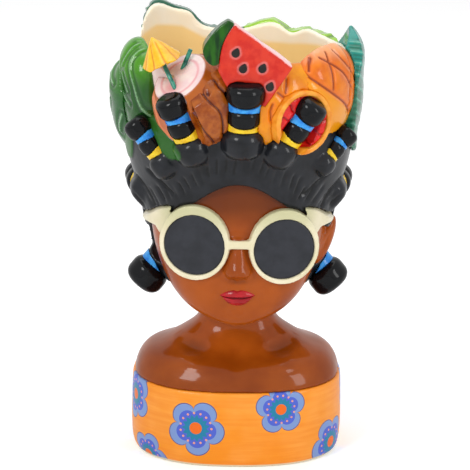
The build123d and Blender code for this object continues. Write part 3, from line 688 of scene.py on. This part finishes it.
def blossom_group():
    """A node group that draws one round blossom, with an output for each paint."""
    group = bpy.data.node_groups.new("blossom", "ShaderNodeTree")
    for name in ("Place", "Centre", "Across"):
        group.interface.new_socket(name, in_out="INPUT", socket_type="NodeSocketVector")
    for name in ("Turn", "Radius"):
        group.interface.new_socket(name, in_out="INPUT", socket_type="NodeSocketFloat")
    for name, _ in BLOSSOM_PAINTS:
        group.interface.new_socket(name, in_out="OUTPUT", socket_type="NodeSocketFloat")
    nodes, links = group.nodes, group.links
    given, result = nodes.new("NodeGroupInput"), nodes.new("NodeGroupOutput")

    def calc(operation, *values):
        node = nodes.new("ShaderNodeMath")
        node.operation = operation
        for socket, value in zip(node.inputs, values):
            if isinstance(value, bpy.types.NodeSocket):
                links.new(value, socket)
            else:
                socket.default_value = value
        return node.outputs[0]

    def vector(operation, a, b):
        node = nodes.new("ShaderNodeVectorMath")
        node.operation = operation
        links.new(a, node.inputs[0])
        links.new(b, node.inputs[1])
        return node

    away = vector("SUBTRACT", given.outputs["Place"], given.outputs["Centre"]).outputs["Vector"]
    across = vector("DOT_PRODUCT", away, given.outputs["Across"]).outputs["Value"]
    split = nodes.new("ShaderNodeSeparateXYZ")
    links.new(away, split.inputs[0])
    rise = split.outputs["Z"]
    length = vector("DOT_PRODUCT", away, away).outputs["Value"]
    near = calc("LESS_THAN", calc("SQRT", length), calc("MULTIPLY", given.outputs["Radius"], 1.6))
    radius = calc("SQRT", calc("ADD", calc("MULTIPLY", across, across), calc("MULTIPLY", rise, rise)))
    share = calc("DIVIDE", radius, given.outputs["Radius"])
    turn = calc("ADD", calc("ARCTAN2", rise, across), given.outputs["Turn"])
    lobe = calc("ABSOLUTE", calc("COSINE", calc("MULTIPLY", turn, PETAL_COUNT / 2)))
    outline = calc("ADD", 0.66, calc("MULTIPLY", 0.34, calc("POWER", lobe, 0.55)))
    ring = calc("ADD", 0.44, calc("MULTIPLY", 0.05, calc("COSINE", calc("MULTIPLY", turn, DOT_COUNT))))
    for name, limit in (
        ("Edge", calc("ADD", outline, 0.035)),
        ("Petals", outline),
        ("Inner", calc("MULTIPLY", outline, 0.74)),
        ("Ring", ring),
        ("Core", 0.22),
    ):
        links.new(calc("MULTIPLY", near, calc("LESS_THAN", share, limit)), result.inputs[name])
    dot_turn = calc("FLOORED_MODULO", turn, 2 * math.pi / DOT_COUNT)
    part = calc("SUBTRACT", dot_turn, math.pi / DOT_COUNT)
    dot_x = calc("SUBTRACT", calc("MULTIPLY", share, calc("COSINE", part)), 0.56)
    dot_y = calc("MULTIPLY", share, calc("SINE", part))
    dot = calc("SQRT", calc("ADD", calc("MULTIPLY", dot_x, dot_x), calc("MULTIPLY", dot_y, dot_y)))
    links.new(calc("MULTIPLY", near, calc("LESS_THAN", dot, 0.042)), result.inputs["Dots"])
    return group


def dress_glaze():
    """Brushed orange with round blossoms and a thin bare line at the foot."""
    glaze = Glaze("dress_orange", roughness=0.42, coat=0.25, coat_roughness=0.2)
    brushed = glaze.step(glaze.noise(0.0022, detail=4.0, stretch=(14, 14, 1)), 0.3, 0.75)
    clouds = glaze.step(glaze.noise(0.03), 0.35, 0.7)
    tone = glaze.mix(clouds, colour(244, 146, 14), colour(249, 160, 58))
    tone = glaze.mix(glaze.math("MULTIPLY", brushed, 0.55), tone, colour(238, 130, 12))
    group = blossom_group()
    totals = {}
    for azimuth, height, radius, turn in BLOSSOMS:
        node = glaze.nodes.new("ShaderNodeGroup")
        node.node_tree = group
        glaze.links.new(glaze.place, node.inputs["Place"])
        centre = dress_reach(azimuth) * direction(azimuth) + (0, 0, height)
        node.inputs["Centre"].default_value = centre * MM
        node.inputs["Across"].default_value = dress_tangent(azimuth)
        node.inputs["Turn"].default_value = turn + WHOLE_TURNS
        node.inputs["Radius"].default_value = radius * MM
        for name, _ in BLOSSOM_PAINTS:
            mask = node.outputs[name]
            totals[name] = glaze.math("MAXIMUM", totals[name], mask) if name in totals else mask
    for name, paint in BLOSSOM_PAINTS:
        tone = glaze.mix(totals[name], tone, colour(*paint))
    glaze.paint(glaze.mix(glaze.step(glaze.height(), 0.0022, 0.0016), tone, colour(236, 224, 190)))
    glaze.bump(glaze.noise(0.003, stretch=(8, 8, 1)), 0.00008)
    return glaze


def dress_reach(azimuth):
    """The distance from the axis to the dress, from the CAD solid."""
    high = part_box("dress_base")[1] / MM
    across, along, _ = np.abs(direction(azimuth)) / high
    return (across**DRESS_ROUNDNESS + along**DRESS_ROUNDNESS) ** (-1 / DRESS_ROUNDNESS)


def dress_tangent(azimuth):
    """The level direction along the dress at an azimuth."""
    before, after = (
        direction(angle) * dress_reach(angle) for angle in (azimuth - TANGENT_STEP, azimuth + TANGENT_STEP)
    )
    return (after - before) / np.linalg.norm(after - before)


# Pieces: face

def face_and_shoulders():
    """The skin from the dress to the crown."""
    piece = copied("skin", ["head", "shoulders"], voxel=1.0, repeats=10)
    points, normals = points_of(piece), normals_of(piece)
    x, y, z = points.T
    side = np.abs(x)
    front = step(-y, *FACE_FRONT) * (normals[:, 1] < 0)
    forward = sum(
        rise * dome(np.hypot(side - place, z - height), radius) for place, height, radius, rise in FACE_FORMS
    )
    offset = np.zeros_like(points)
    offset[:, 1] = -forward * front
    hollow = oval(side, z, *COLLARBONE_HOLLOW)
    ridge = oval(side, z, *COLLARBONE_RIDGE)
    notch = oval(x, z, *THROAT_NOTCH)
    chest = (y < -5) * (z < 90)
    relief = RIDGE_RISE * ridge - HOLLOW_DEPTH * hollow - NOTCH_DEPTH * notch
    offset += normals * (relief * chest)[:, None]
    carved(piece, offset)
    ear(piece)
    softened(piece, 2)
    _, y, z = points_of(piece).T
    brow = 0.8 * step(z, *BROW_SHADE)
    under_nose = 0.45 * oval(side, z, *NOSE_SHADOW) * (y < 0)
    low = 0.35 * step(z, *CHEST_SHADE)
    marked(piece, "shade", np.clip(brow + low + under_nose + 0.45 * hollow * chest, 0, 0.85))
    return finished(piece, skin_glaze, ["head", "shoulders"])


def ear(piece):
    """Hollows the ears inside a raised rim."""
    points, normals = points_of(piece), normals_of(piece)
    side = np.abs(points[:, 0])
    lean = math.radians(EAR_LEAN)
    across, up = side - EAR_SIDE, points[:, 2] - EAR_HEIGHT
    u = across * math.cos(lean) - up * math.sin(lean)
    v = across * math.sin(lean) + up * math.cos(lean)
    facing = (normals[:, 1] < -0.15) * (side > 47) * (points[:, 1] > -14)
    carved(piece, -EAR_DEPTH * oval(u, v, *EAR_HOLLOW) * facing, normals)


def lip_edges(u, closed):
    """The heights of the upper edge, the parting and the lower edge."""
    lower = max(0.0, 1 - (u / 0.88) ** 2)
    top = LIP_LINE + 0.15 + UPPER_LIP_RISE * closed**0.9 - UPPER_LIP_DIP * math.exp(-((u / 0.13) ** 2))
    part = LIP_LINE - PARTING_DROP * closed**0.8 + 0.25 * math.exp(-((u / 0.2) ** 2))
    bottom = LIP_LINE - 0.15 - LOWER_LIP_DROP * lower**0.8 - 0.3 * closed
    return top, part, bottom


def lips(skin):
    """The lips, laid on the face with a parting line between them."""
    surface = BVHTree.FromObject(skin, bpy.context.evaluated_depsgraph_get())
    front, back, parting = [], [], []
    for column in range(LIP_COLUMNS):
        u = -1 + 2 * column / (LIP_COLUMNS - 1)
        closed = max(0.0, 1 - u * u)
        top, part, bottom = lip_edges(u, closed)
        x = u * LIP_HALF_WIDTH
        for row in range(LIP_ROWS):
            v = -1 + 2 * row / (LIP_ROWS - 1)
            z = part + v * (top - part if v > 0 else part - bottom)
            fullness = UPPER_LIP_BULGE if v > 0 else LOWER_LIP_BULGE
            bulge = fullness * closed**0.6 * math.sin(math.pi * abs(v) ** 0.75) ** 0.8
            hit = surface.ray_cast(Vector((x, -100, z)) * MM, Vector((0, 1, 0)))[0]
            face = hit.y / MM
            front.append((x, face - bulge - 0.12 * closed, z))
            back.append((x, face + LIP_SINK, z))
            parting.append(closed**0.3 * math.exp(-((v / 0.1) ** 2)))
    count = len(front)
    faces = []
    for column in range(LIP_COLUMNS - 1):
        for row in range(LIP_ROWS - 1):
            a = column * LIP_ROWS + row
            quad = (a, a + LIP_ROWS, a + LIP_ROWS + 1, a + 1)
            faces.append(quad)
            faces.append(tuple(count + i for i in reversed(quad)))
    last = count - LIP_ROWS
    rim = list(range(LIP_ROWS)) + [column * LIP_ROWS + LIP_ROWS - 1 for column in range(1, LIP_COLUMNS)]
    rim += [last + row for row in range(LIP_ROWS - 2, -1, -1)]
    rim += [column * LIP_ROWS for column in range(LIP_COLUMNS - 2, 0, -1)]
    for a, b in zip(rim, rim[1:] + rim[:1]):
        faces.append((a, b, count + b, count + a))
    piece = meshed("lips_red", [Vector(p) * MM for p in front + back], faces)
    piece.data.shade_smooth()
    marked(piece, "groove", np.array(parting + [0.0] * count))
    finished(piece, lip_glaze, ["lips"])


def sunglasses():
    piece = copied("glasses_frame", ["sunglasses_frame"], voxel=0.6, repeats=8)
    points = points_of(piece)
    arm = step(np.abs(points[:, 0]), *ARM_SIDE) * step(points[:, 2], *ARM_HEIGHT)
    lifted(piece, -ARM_DROP * arm)
    points = points_of(piece)
    marked(piece, "shade", 0.9 * step(points[:, 2], 140, 160) * step(50 - np.abs(points[:, 0]), 0, 12))
    finished(piece, frame_glaze, ["sunglasses_frame"])
    for node in ("left_lens", "right_lens"):
        lens = copied(f"{node}_disc", [node], voxel=0.6, repeats=3)
        points, normals = points_of(lens), normals_of(lens)
        away = np.linalg.norm((points - box_middle(node))[:, (0, 2)], axis=1)
        carved(lens, LENS_BULGE * dome(away, LENS_RADIUS) * (normals[:, 1] < -0.6), normals)
        finished(lens, lens_glaze, [node])


# Pieces: hair and wall

def front_strokes(points):
    """Short combed strokes that fan out above the hairline."""
    x, y, z = points.T
    above = z - np.interp(x, HAIRLINE_X, HAIRLINE_Z)
    turn = np.degrees(np.arctan2(x, z - COMB_FOCUS_HEIGHT)) / COMB_STEP + 0.12 * np.sin(z / 4)
    lock = np.floor(turn)
    across = np.abs(turn - lock - 0.5 + 0.3 * (scattered(lock) - 0.5))
    start, end = 5 + 5 * scattered(lock + 7), 15 + 7 * scattered(lock + 3)
    stroke = step(above, start, start + 5) * step(above, end + 5, end)
    strength = 0.35 + 0.65 * scattered(lock + 11)
    return trench(across, STROKE_WIDTH) * stroke * strength * step(-y, *HAIR_FRONT) * step(z, 206, 198)


def back_strokes(points):
    """Long combed locks on the back."""
    y, z = points[:, 1], points[:, 2]
    turn = wrapped(points)[0] / BACK_COMB_STEP + 0.25 * np.sin(z / 11)
    lock = np.floor(turn)
    behind = step(y, -2, 14) * step(z, 103, 112) * step(z, 208, 196)
    return trench(np.abs(turn - lock - 0.5), BACK_STROKE_WIDTH) * behind * (0.5 + 0.5 * scattered(lock))


def leaf_on_hair(points):
    """The parts of the left leaves that lie on the hair: a strip beside the husk and the lowest lobe."""
    strip = distance_to(points[:, (0, 2)], LEAF_STRIP)
    lobe = np.linalg.norm((points - LEAF_LOBE) * LEAF_LOBE_SHAPE, axis=1)
    return np.maximum(step(strip, 5.4, 4.8) * (points[:, 1] < 0), step(lobe, 8.8, 8.2))


def hair_shell():
    """The hair with its combed grooves."""
    piece = copied("hair_shell", ["hair"], voxel=1.1, repeats=6)
    points, normals = points_of(piece), normals_of(piece)
    x, y, z = points.T
    outer = step(facing_out(points, normals, np.hypot(x, y)), 0.1, 0.5)
    locks = trench(distances(points[:, (0, 2)], LONG_LOCKS).min(0), LOCK_WIDTH) * (y < 0)
    grooves = np.clip(front_strokes(points) + locks + back_strokes(points), 0, 1) * outer
    leaf = leaf_on_hair(points) * outer
    relief = 0.25 * ripple(points, 7) - COMB_DEPTH * grooves + HAIR_LEAF_RELIEF * leaf
    carved(piece, relief * outer, normals)
    side = np.abs(x)
    temple = step(side, *TEMPLE_INNER) * step(side, *TEMPLE_OUTER) * step(z, *TEMPLE_HEIGHT)
    lifted(piece, -TEMPLE_DROP * temple * step(-y, *HAIR_FRONT))
    softened(piece, 1)
    marked(piece, "groove", step(grooves, 0.25, 0.8) * (1 - leaf))
    marked(piece, "leaf", leaf)
    finished(piece, hair_glaze, ["hair"])


def braid_pieces():
    """Beads and ties, each softened, the beads a little uneven."""
    for node in frame["nodes"]:
        if node.endswith(("_bead", "_ball")):
            piece = copied(f"{node}_glazed", [node], voxel=0.55, repeats=5)
            carved(piece, BEAD_RIPPLE * ripple(points_of(piece), 4.5, seed=len(node)))
            finished(piece, bead_glaze, [node])
        elif node.endswith("_tie"):
            glaze, slot = (yellow_glaze, "yellow_glaze") if "yellow" in node else (blue_glaze, "blue_glaze")
            finished(copied(f"{node}_glazed", [node], voxel=0.4, repeats=4), glaze, [node])


def wall_piece():
    """The planter wall: its inner face is glazed in two bands, the lower one darker as painted shadow."""
    piece = copied("planter", ["planter_wall"], voxel=1.0, repeats=4)
    carved(piece, 0.15 * ripple(points_of(piece), 8))
    points = points_of(piece)
    line = np.interp(points[:, 0], SHADOW_LINE_X, SHADOW_LINE_Z)
    # the deep mark paints the wall darker below the line: painted shadow inside the rim
    marked(piece, "deep", step(line - points[:, 2], -1.5, 1.5))
    spill = np.linalg.norm(points - SPILL_MIDDLE, axis=1)
    marked(piece, "spill", step(spill, *SPILL_EDGE))
    lifted(piece, SPILL_LIFT * step(spill, *LIFT_EDGE) * step(points[:, 2], *WALL_RIM))
    finished(piece, wall_glaze, ["planter_wall"])


# Pieces: fruits

def chamfered(piece, middle, slope, from_top):
    """Slopes a cut coconut down outside the white disc, from the piece's top or from the disc's middle."""
    out = direction(COCONUT_TURN, COCONUT_RISE)
    from_middle = points_of(piece) - middle
    height = from_middle @ out
    start = height.max() if from_top else 0.0
    away = np.linalg.norm(from_middle - np.outer(height, out), axis=1)
    limit = start - slope * np.clip(away - COCONUT_WHITE, 0, None)
    carved(piece, np.outer(np.minimum(0, limit - height), out))


def coconut():
    """The white cut face with its pink ring, and the cracked husk behind it."""
    middle = box_middle("coconut_flesh") + COCONUT_SHIFT
    piece = copied("coconut_cut", ["coconut_flesh"], voxel=0.5, repeats=3)
    chamfered(piece, middle, FLESH_SLOPE, from_top=True)
    nestled(piece, "left_braid", half_width=8.5, spread=10.0, rise=14.0)
    softened(piece, 2)
    from_middle = points_of(piece) - middle
    away = np.linalg.norm(from_middle, axis=1)
    marked(piece, "rim", step(away, COCONUT_WHITE - 0.4, COCONUT_WHITE + 0.4))
    marked(piece, "groove", 0.7 * dome(np.abs(away - COCONUT_RING * COCONUT_WHITE), RING_WIDTH))
    marked(piece, "blush", 0.7 * dome(np.linalg.norm(from_middle - BLUSH_SHIFT, axis=1), BLUSH_RADIUS))
    finished(piece, flesh_glaze, ["coconut_flesh"])

    piece = copied("coconut_shell", ["coconut_husk"], voxel=0.6, repeats=4)
    chamfered(piece, middle, HUSK_SLOPE, from_top=False)
    nestled(piece, "left_braid", half_width=9.0, spread=16.0, rise=14.0)
    softened(piece, 5)
    points, normals = points_of(piece), normals_of(piece)
    flat = points[:, (0, 2)]
    cracks = trench(distances(flat, HUSK_CRACKS).min(0), CRACK_WIDTH)
    eye = dome(np.linalg.norm(flat - HUSK_EYE, axis=1), HUSK_EYE_RADIUS)
    cracks = np.maximum(cracks, eye) * (normals[:, 1] < 0.2)
    carved(piece, 0.35 * ripple(points, 3.5) - CRACK_DEPTH * cracks, normals)
    softened(piece, 1)
    marked(piece, "groove", step(cracks, 0.35, 0.85))
    marked(piece, "blush", 0.85 * step(-points[:, 0] - 0.45 * (points[:, 2] - 200), 26, 38))
    finished(piece, husk_glaze, ["coconut_husk"])


def umbrella_and_straws():
    """The straws, and the pleated umbrella whose near rim droops over the coconut."""
    for node in ("umbrella_stick", "drinking_straw"):
        finished(copied(f"{node}_glazed", [node], voxel=0.3, repeats=3), stick_glaze, [node])

    piece = copied("umbrella_pleated", ["umbrella"], voxel=0.45, repeats=4)
    points, normals = points_of(piece), normals_of(piece)
    stick = points_of(frame["nodes"]["umbrella_stick"])
    stick = stick[np.argsort(stick[:, 2])]
    axis = stick[:STICK_END_POINTS].mean(0) - stick[-STICK_END_POINTS:].mean(0)
    axis /= np.linalg.norm(axis)
    first = np.cross(axis, UP)
    first /= np.linalg.norm(first)
    from_apex = points - points[np.argmin(points @ axis)]
    along = from_apex @ axis
    turn = np.arctan2(from_apex @ np.cross(axis, first), from_apex @ first)
    pleats = np.abs(np.cos(UMBRELLA_PLEATS / 2 * turn)) ** 0.6
    carved(piece, (0.6 * pleats - 0.5) * step(along, 1, 8), normals)
    marked(piece, "groove", 0.8 * step(pleats, 0.6, 0.2) * step(along, 0.5, 5))
    near = direction(0, CAMERA_ELEVATION)
    near -= (near @ axis) * axis
    facing = np.clip(from_apex @ (near / np.linalg.norm(near)) / 8, 0, 1)
    carved(piece, np.outer(UMBRELLA_DROOP * facing * step(along, 4, 14), axis))
    finished(piece, umbrella_glaze, ["umbrella"])


def melon():
    """The rind, the seeds, and the flesh with a pale halo round each seed."""
    rind = copied("melon_skin", ["melon_rind"], voxel=0.6, repeats=8)
    finished(rind, rind_glaze, ["melon_rind"])
    seeds = copied("melon_pips", ["melon_seeds"], voxel=0.3, repeats=3)
    finished(seeds, seed_glaze, ["melon_seeds"])
    piece = copied("melon_slice", ["melon_flesh"], voxel=0.7, repeats=5)
    points, normals = points_of(piece), normals_of(piece)
    carved(piece, 0.25 * ripple(points, 5), normals)
    seed_points = points_of(seeds)
    halo = np.full(len(points), np.inf)
    for spot in seed_points[:: max(1, len(seed_points) // SEED_SAMPLES)]:
        halo = np.minimum(halo, np.linalg.norm(points - spot, axis=1))
    marked(piece, "halo", 0.75 * step(halo, 1.6, 0.7))
    marked(piece, "top", step(normals[:, 2], 0.35, 0.6))
    finished(piece, melon_glaze, ["melon_flesh"])


def grapefruit():
    """The peel, and the pulp with folds between its segments."""
    peel = copied("grapefruit_peel", ["grapefruit_rind"], voxel=0.6, repeats=6)
    nestled(peel, "right_braid", half_width=7.5, spread=5.0, rise=11.0)
    softened(peel, 2)
    finished(peel, peel_glaze, ["grapefruit_rind"])
    piece = copied("grapefruit_pulp", ["grapefruit_flesh"], voxel=0.5, repeats=3)
    points, normals = points_of(piece), normals_of(piece)
    azimuth, height = wrapped(points)
    across = (azimuth - GRAPEFRUIT_AZIMUTH) * math.radians(1) * GRAPEFRUIT_REACH
    up = height - GRAPEFRUIT_HEIGHT
    radius = np.hypot(across, up)
    turn = np.arctan2(up, across) + 0.04 * np.sin(radius)
    part = np.abs(np.modf(np.abs(turn / (2 * math.pi) * SEGMENT_COUNT) + 0.5)[0] - 0.5) * 2
    front = normals @ PULP_OUT > 0.5
    folds = trench(part * radius * math.pi / SEGMENT_COUNT, PULP_FOLD_WIDTH) * front
    carved(piece, (0.5 * ripple(points, 2.6) - folds) * front, normals)
    nestled(piece, "right_braid", half_width=8.5, spread=6.0, rise=9.0)
    softened(piece, 2)
    marked(piece, "groove", step(folds, 0.3, 0.9))
    finished(piece, pulp_glaze, ["grapefruit_flesh"])


def round_fruit(node, lines, fold=None):
    """A fruit that bulges from the wall, with carved lines. What lies below a fold is painted as mango."""
    piece = copied(f"{node}_carved", [node], voxel=0.7, repeats=5)
    below = np.zeros(len(piece.data.vertices))
    if fold:
        lowered(piece, *PINEAPPLE_CROP)
        azimuth, height = wrapped(points_of(piece))
        below = step(np.interp(azimuth, *zip(*fold)) - height, -0.6, 0.6)
        lines += (fold,)
    points, normals = points_of(piece), normals_of(piece)
    nearest = wrapped_distances(points, lines, FRUIT_RADIUS).min(0)
    grooves, puff = trench(nearest, GROOVE_WIDTH), trench(nearest, PUFF_WIDTH)
    outer = step(facing_out(points, normals, WALL_RADIUS), *OUTER_FACING)
    carved(piece, (-1.1 * grooves - 0.7 * puff + 0.4 + 0.25 * ripple(points, 5)) * outer, normals)
    softened(piece, 1)
    marked(piece, "groove", step(grooves * outer, 0.25, 0.9))
    marked(piece, "edge", 0.6 * step(puff, 0.3, 1.0))
    marked(piece, "top", 0.6 * step(points[:, 2], 246, 256))
    marked(piece, "below", below)
    finished(piece, fruit_glazes[node], [node])


# Pieces: leaves

def ribbed_leaf(label, node, glaze, ribs, radius, depth=0.9, crop=None):
    """A full leaf with ribs: each rib is a thin pale line beside a soft fold."""
    piece = copied(label, [node], voxel=0.8, repeats=5)
    if crop:
        start, share = crop
        lowered(piece, start, share)
        carved(piece, LEAF_SWELL * step(points_of(piece)[:, 2], start - 14, start + 6))
    points, normals = points_of(piece), normals_of(piece)
    away = wrapped_distances(points, ribs, radius)
    rib = trench(away, RIB_WIDTH).max(0)
    valley = trench(away - VALLEY_OFFSET, VALLEY_WIDTH).max(0) * (1 - rib)
    outer = step(facing_out(points, normals, WALL_RADIUS), *OUTER_FACING)
    carved(piece, depth * (0.4 * rib - 0.8 * valley) * outer + 0.3 * ripple(points, 6), normals)
    softened(piece, 1)
    low, high = points[:, 2].min(), points[:, 2].max()
    marked(piece, "vein", 0.75 * step(rib * outer, 0.3, 0.9))
    marked(piece, "groove", 0.5 * step(valley * outer, 0.4, 1.0))
    marked(piece, "top", step(points[:, 2], low + 0.5 * (high - low), low + 0.8 * (high - low)))
    return finished(piece, leaf_glazes[glaze], [node])


def back_leaf(label, node, glaze, azimuth, top, half_width, trim, waves):
    """A leaf on the back of the wall. Only a thin, wavy edge of it shows over the rim."""
    ribs = side_ribs(azimuth, top, half_width, 6)
    piece = ribbed_leaf(label, node, glaze, ribs, BACK_LEAF_RADIUS)
    points = points_of(piece)
    turn = np.round((wrapped(points)[0] - azimuth + 540) % 360).astype(int)
    whole_degrees = np.arange(361)
    crest = np.full(whole_degrees.size, -np.inf)
    np.maximum.at(crest, turn, points[:, 2])
    known = np.flatnonzero(np.isfinite(crest))
    crest = np.interp(whole_degrees, known, crest[known])
    amount = trim * (1 + 0.6 * np.sin(np.radians(turn * waves)))
    lifted(piece, -amount * step(points[:, 2], crest[turn] - 5, crest[turn]))


def side_ribs(azimuth, top, half_width, pairs):
    """A midrib and pairs of side ribs, as azimuths and heights."""
    paths = [((azimuth, LEAF_FOOT), (azimuth, (LEAF_FOOT + top) / 2), (azimuth, top))]
    spread = math.degrees(half_width / BACK_LEAF_RADIUS)
    for pair in range(pairs):
        start = LEAF_FOOT + (top - LEAF_FOOT) * (0.08 + 0.8 * pair / pairs)
        rise = (top - LEAF_FOOT) * 0.22
        for side in (-1, 1):
            paths.append((
                (azimuth, start),
                (azimuth + side * 0.5 * spread, start + 0.6 * rise),
                (azimuth + side * 0.95 * spread, start + rise),
            ))
    return paths


def leaves():
    ribbed_leaf("left_leaf", "left_front_leaf", "left", LEFT_LEAF_RIBS, radius=73, crop=(238, 0.62))
    ribbed_leaf("outer_leaf", "left_outer_leaf", "outer", OUTER_LEAF_RIBS, radius=77, crop=(225, 0.52))
    ribbed_leaf("teal_leaf", "right_leaf", "right", side_ribs(92, 259.5, 27, 8), radius=70, depth=0.3)
    back_leaf("tall_back_leaf", "back_left_leaf", "back", -146, 284, 42, trim=1.5, waves=5)
    back_leaf("low_back_leaf", "back_right_leaf", "back_right", 152, 264, 40, trim=1.7, waves=7)


def pieces():
    lower_body()
    skin = face_and_shoulders()
    lips(skin)
    hair_shell()
    wall_piece()
    sunglasses()
    braid_pieces()
    coconut()
    umbrella_and_straws()
    melon()
    grapefruit()
    round_fruit("pineapple", PINEAPPLE_LINES, PINEAPPLE_FOLD)
    round_fruit("mango", MANGO_LINES)
    leaves()


# Stage

def floor():
    """A pale floor that shows as white to the camera, with the object's shadow."""
    corners = [Vector((x, y, 0)) * FLOOR_HALF for x, y in ((-1, -1), (1, -1), (1, 1), (-1, 1))]
    ground = meshed("floor", corners, [(0, 1, 2, 3)])
    glaze = Glaze("floor_white", roughness=0.9, coat=0.0, shine=0.0)
    glaze.paint(glaze.mix(glaze.noise(0.4), colour(252, 252, 252), colour(249, 249, 250)))
    seen = glaze.nodes.new("ShaderNodeLightPath").outputs["Is Camera Ray"]
    glaze.shader.inputs["Emission Color"].default_value = (1, 1, 1, 1)
    glaze.set(glaze.shader.inputs["Emission Strength"], glaze.math("MULTIPLY", seen, FLOOR_GLOW))
    ground.data.materials.append(glaze.material)


def world():
    """White to the camera, in reflections and through glass, softer as a light."""
    studio = bpy.data.worlds.new("studio")
    bpy.context.scene.world = studio
    studio.use_nodes = True
    nodes, links = studio.node_tree.nodes, studio.node_tree.links
    background = nodes["Background"]
    background.inputs["Color"].default_value = (1, 1, 1, 1)
    path = nodes.new("ShaderNodeLightPath")
    seen = path.outputs["Is Camera Ray"]
    for ray in ("Is Glossy Ray", "Is Transmission Ray"):
        either = nodes.new("ShaderNodeMath")
        either.operation = "MAXIMUM"
        links.new(seen, either.inputs[0])
        links.new(path.outputs[ray], either.inputs[1])
        seen = either.outputs[0]
    strength = nodes.new("ShaderNodeMix")
    strength.inputs["A"].default_value = WORLD_LIGHT
    strength.inputs["B"].default_value = 1.0
    links.new(seen, strength.inputs["Factor"])
    links.new(strength.outputs["Result"], background.inputs["Strength"])


def lamp(name, place, size, power):
    """A soft box that looks at the object."""
    light = bpy.data.lights.new(name, "AREA")
    light.shape = "RECTANGLE"
    light.size, light.size_y = size
    light.energy = power
    box = bpy.data.objects.new(name, light)
    bpy.context.scene.collection.objects.link(box)
    box.location = place
    box.rotation_euler = (Vector(LAMP_TARGET) - Vector(place)).to_track_quat("-Z", "Y").to_euler()


def camera():
    data = bpy.data.cameras.new("camera")
    data.sensor_width = 36.0
    data.lens = CAMERA_LENS
    data.shift_x = -SIDE_SHIFT_PIXELS / FRAME_PIXELS
    eye = bpy.data.objects.new("camera", data)
    bpy.context.scene.collection.objects.link(eye)
    place = Matrix.Translation(CAMERA_DISTANCE * direction(0, CAMERA_ELEVATION) + (0, 0, TARGET_HEIGHT))
    turn = Matrix.Rotation(math.radians(90 - CAMERA_ELEVATION), 4, "X")
    roll = Matrix.Rotation(math.radians(CAMERA_ROLL), 4, "Z")
    eye.matrix_world = place @ turn @ roll
    bpy.context.scene.camera = eye


camera()
world()
floor()
for row in LAMPS:
    lamp(*row)
pieces()
bpy.context.scene.view_settings.view_transform = "Standard"

bpy.context.view_layer.update()
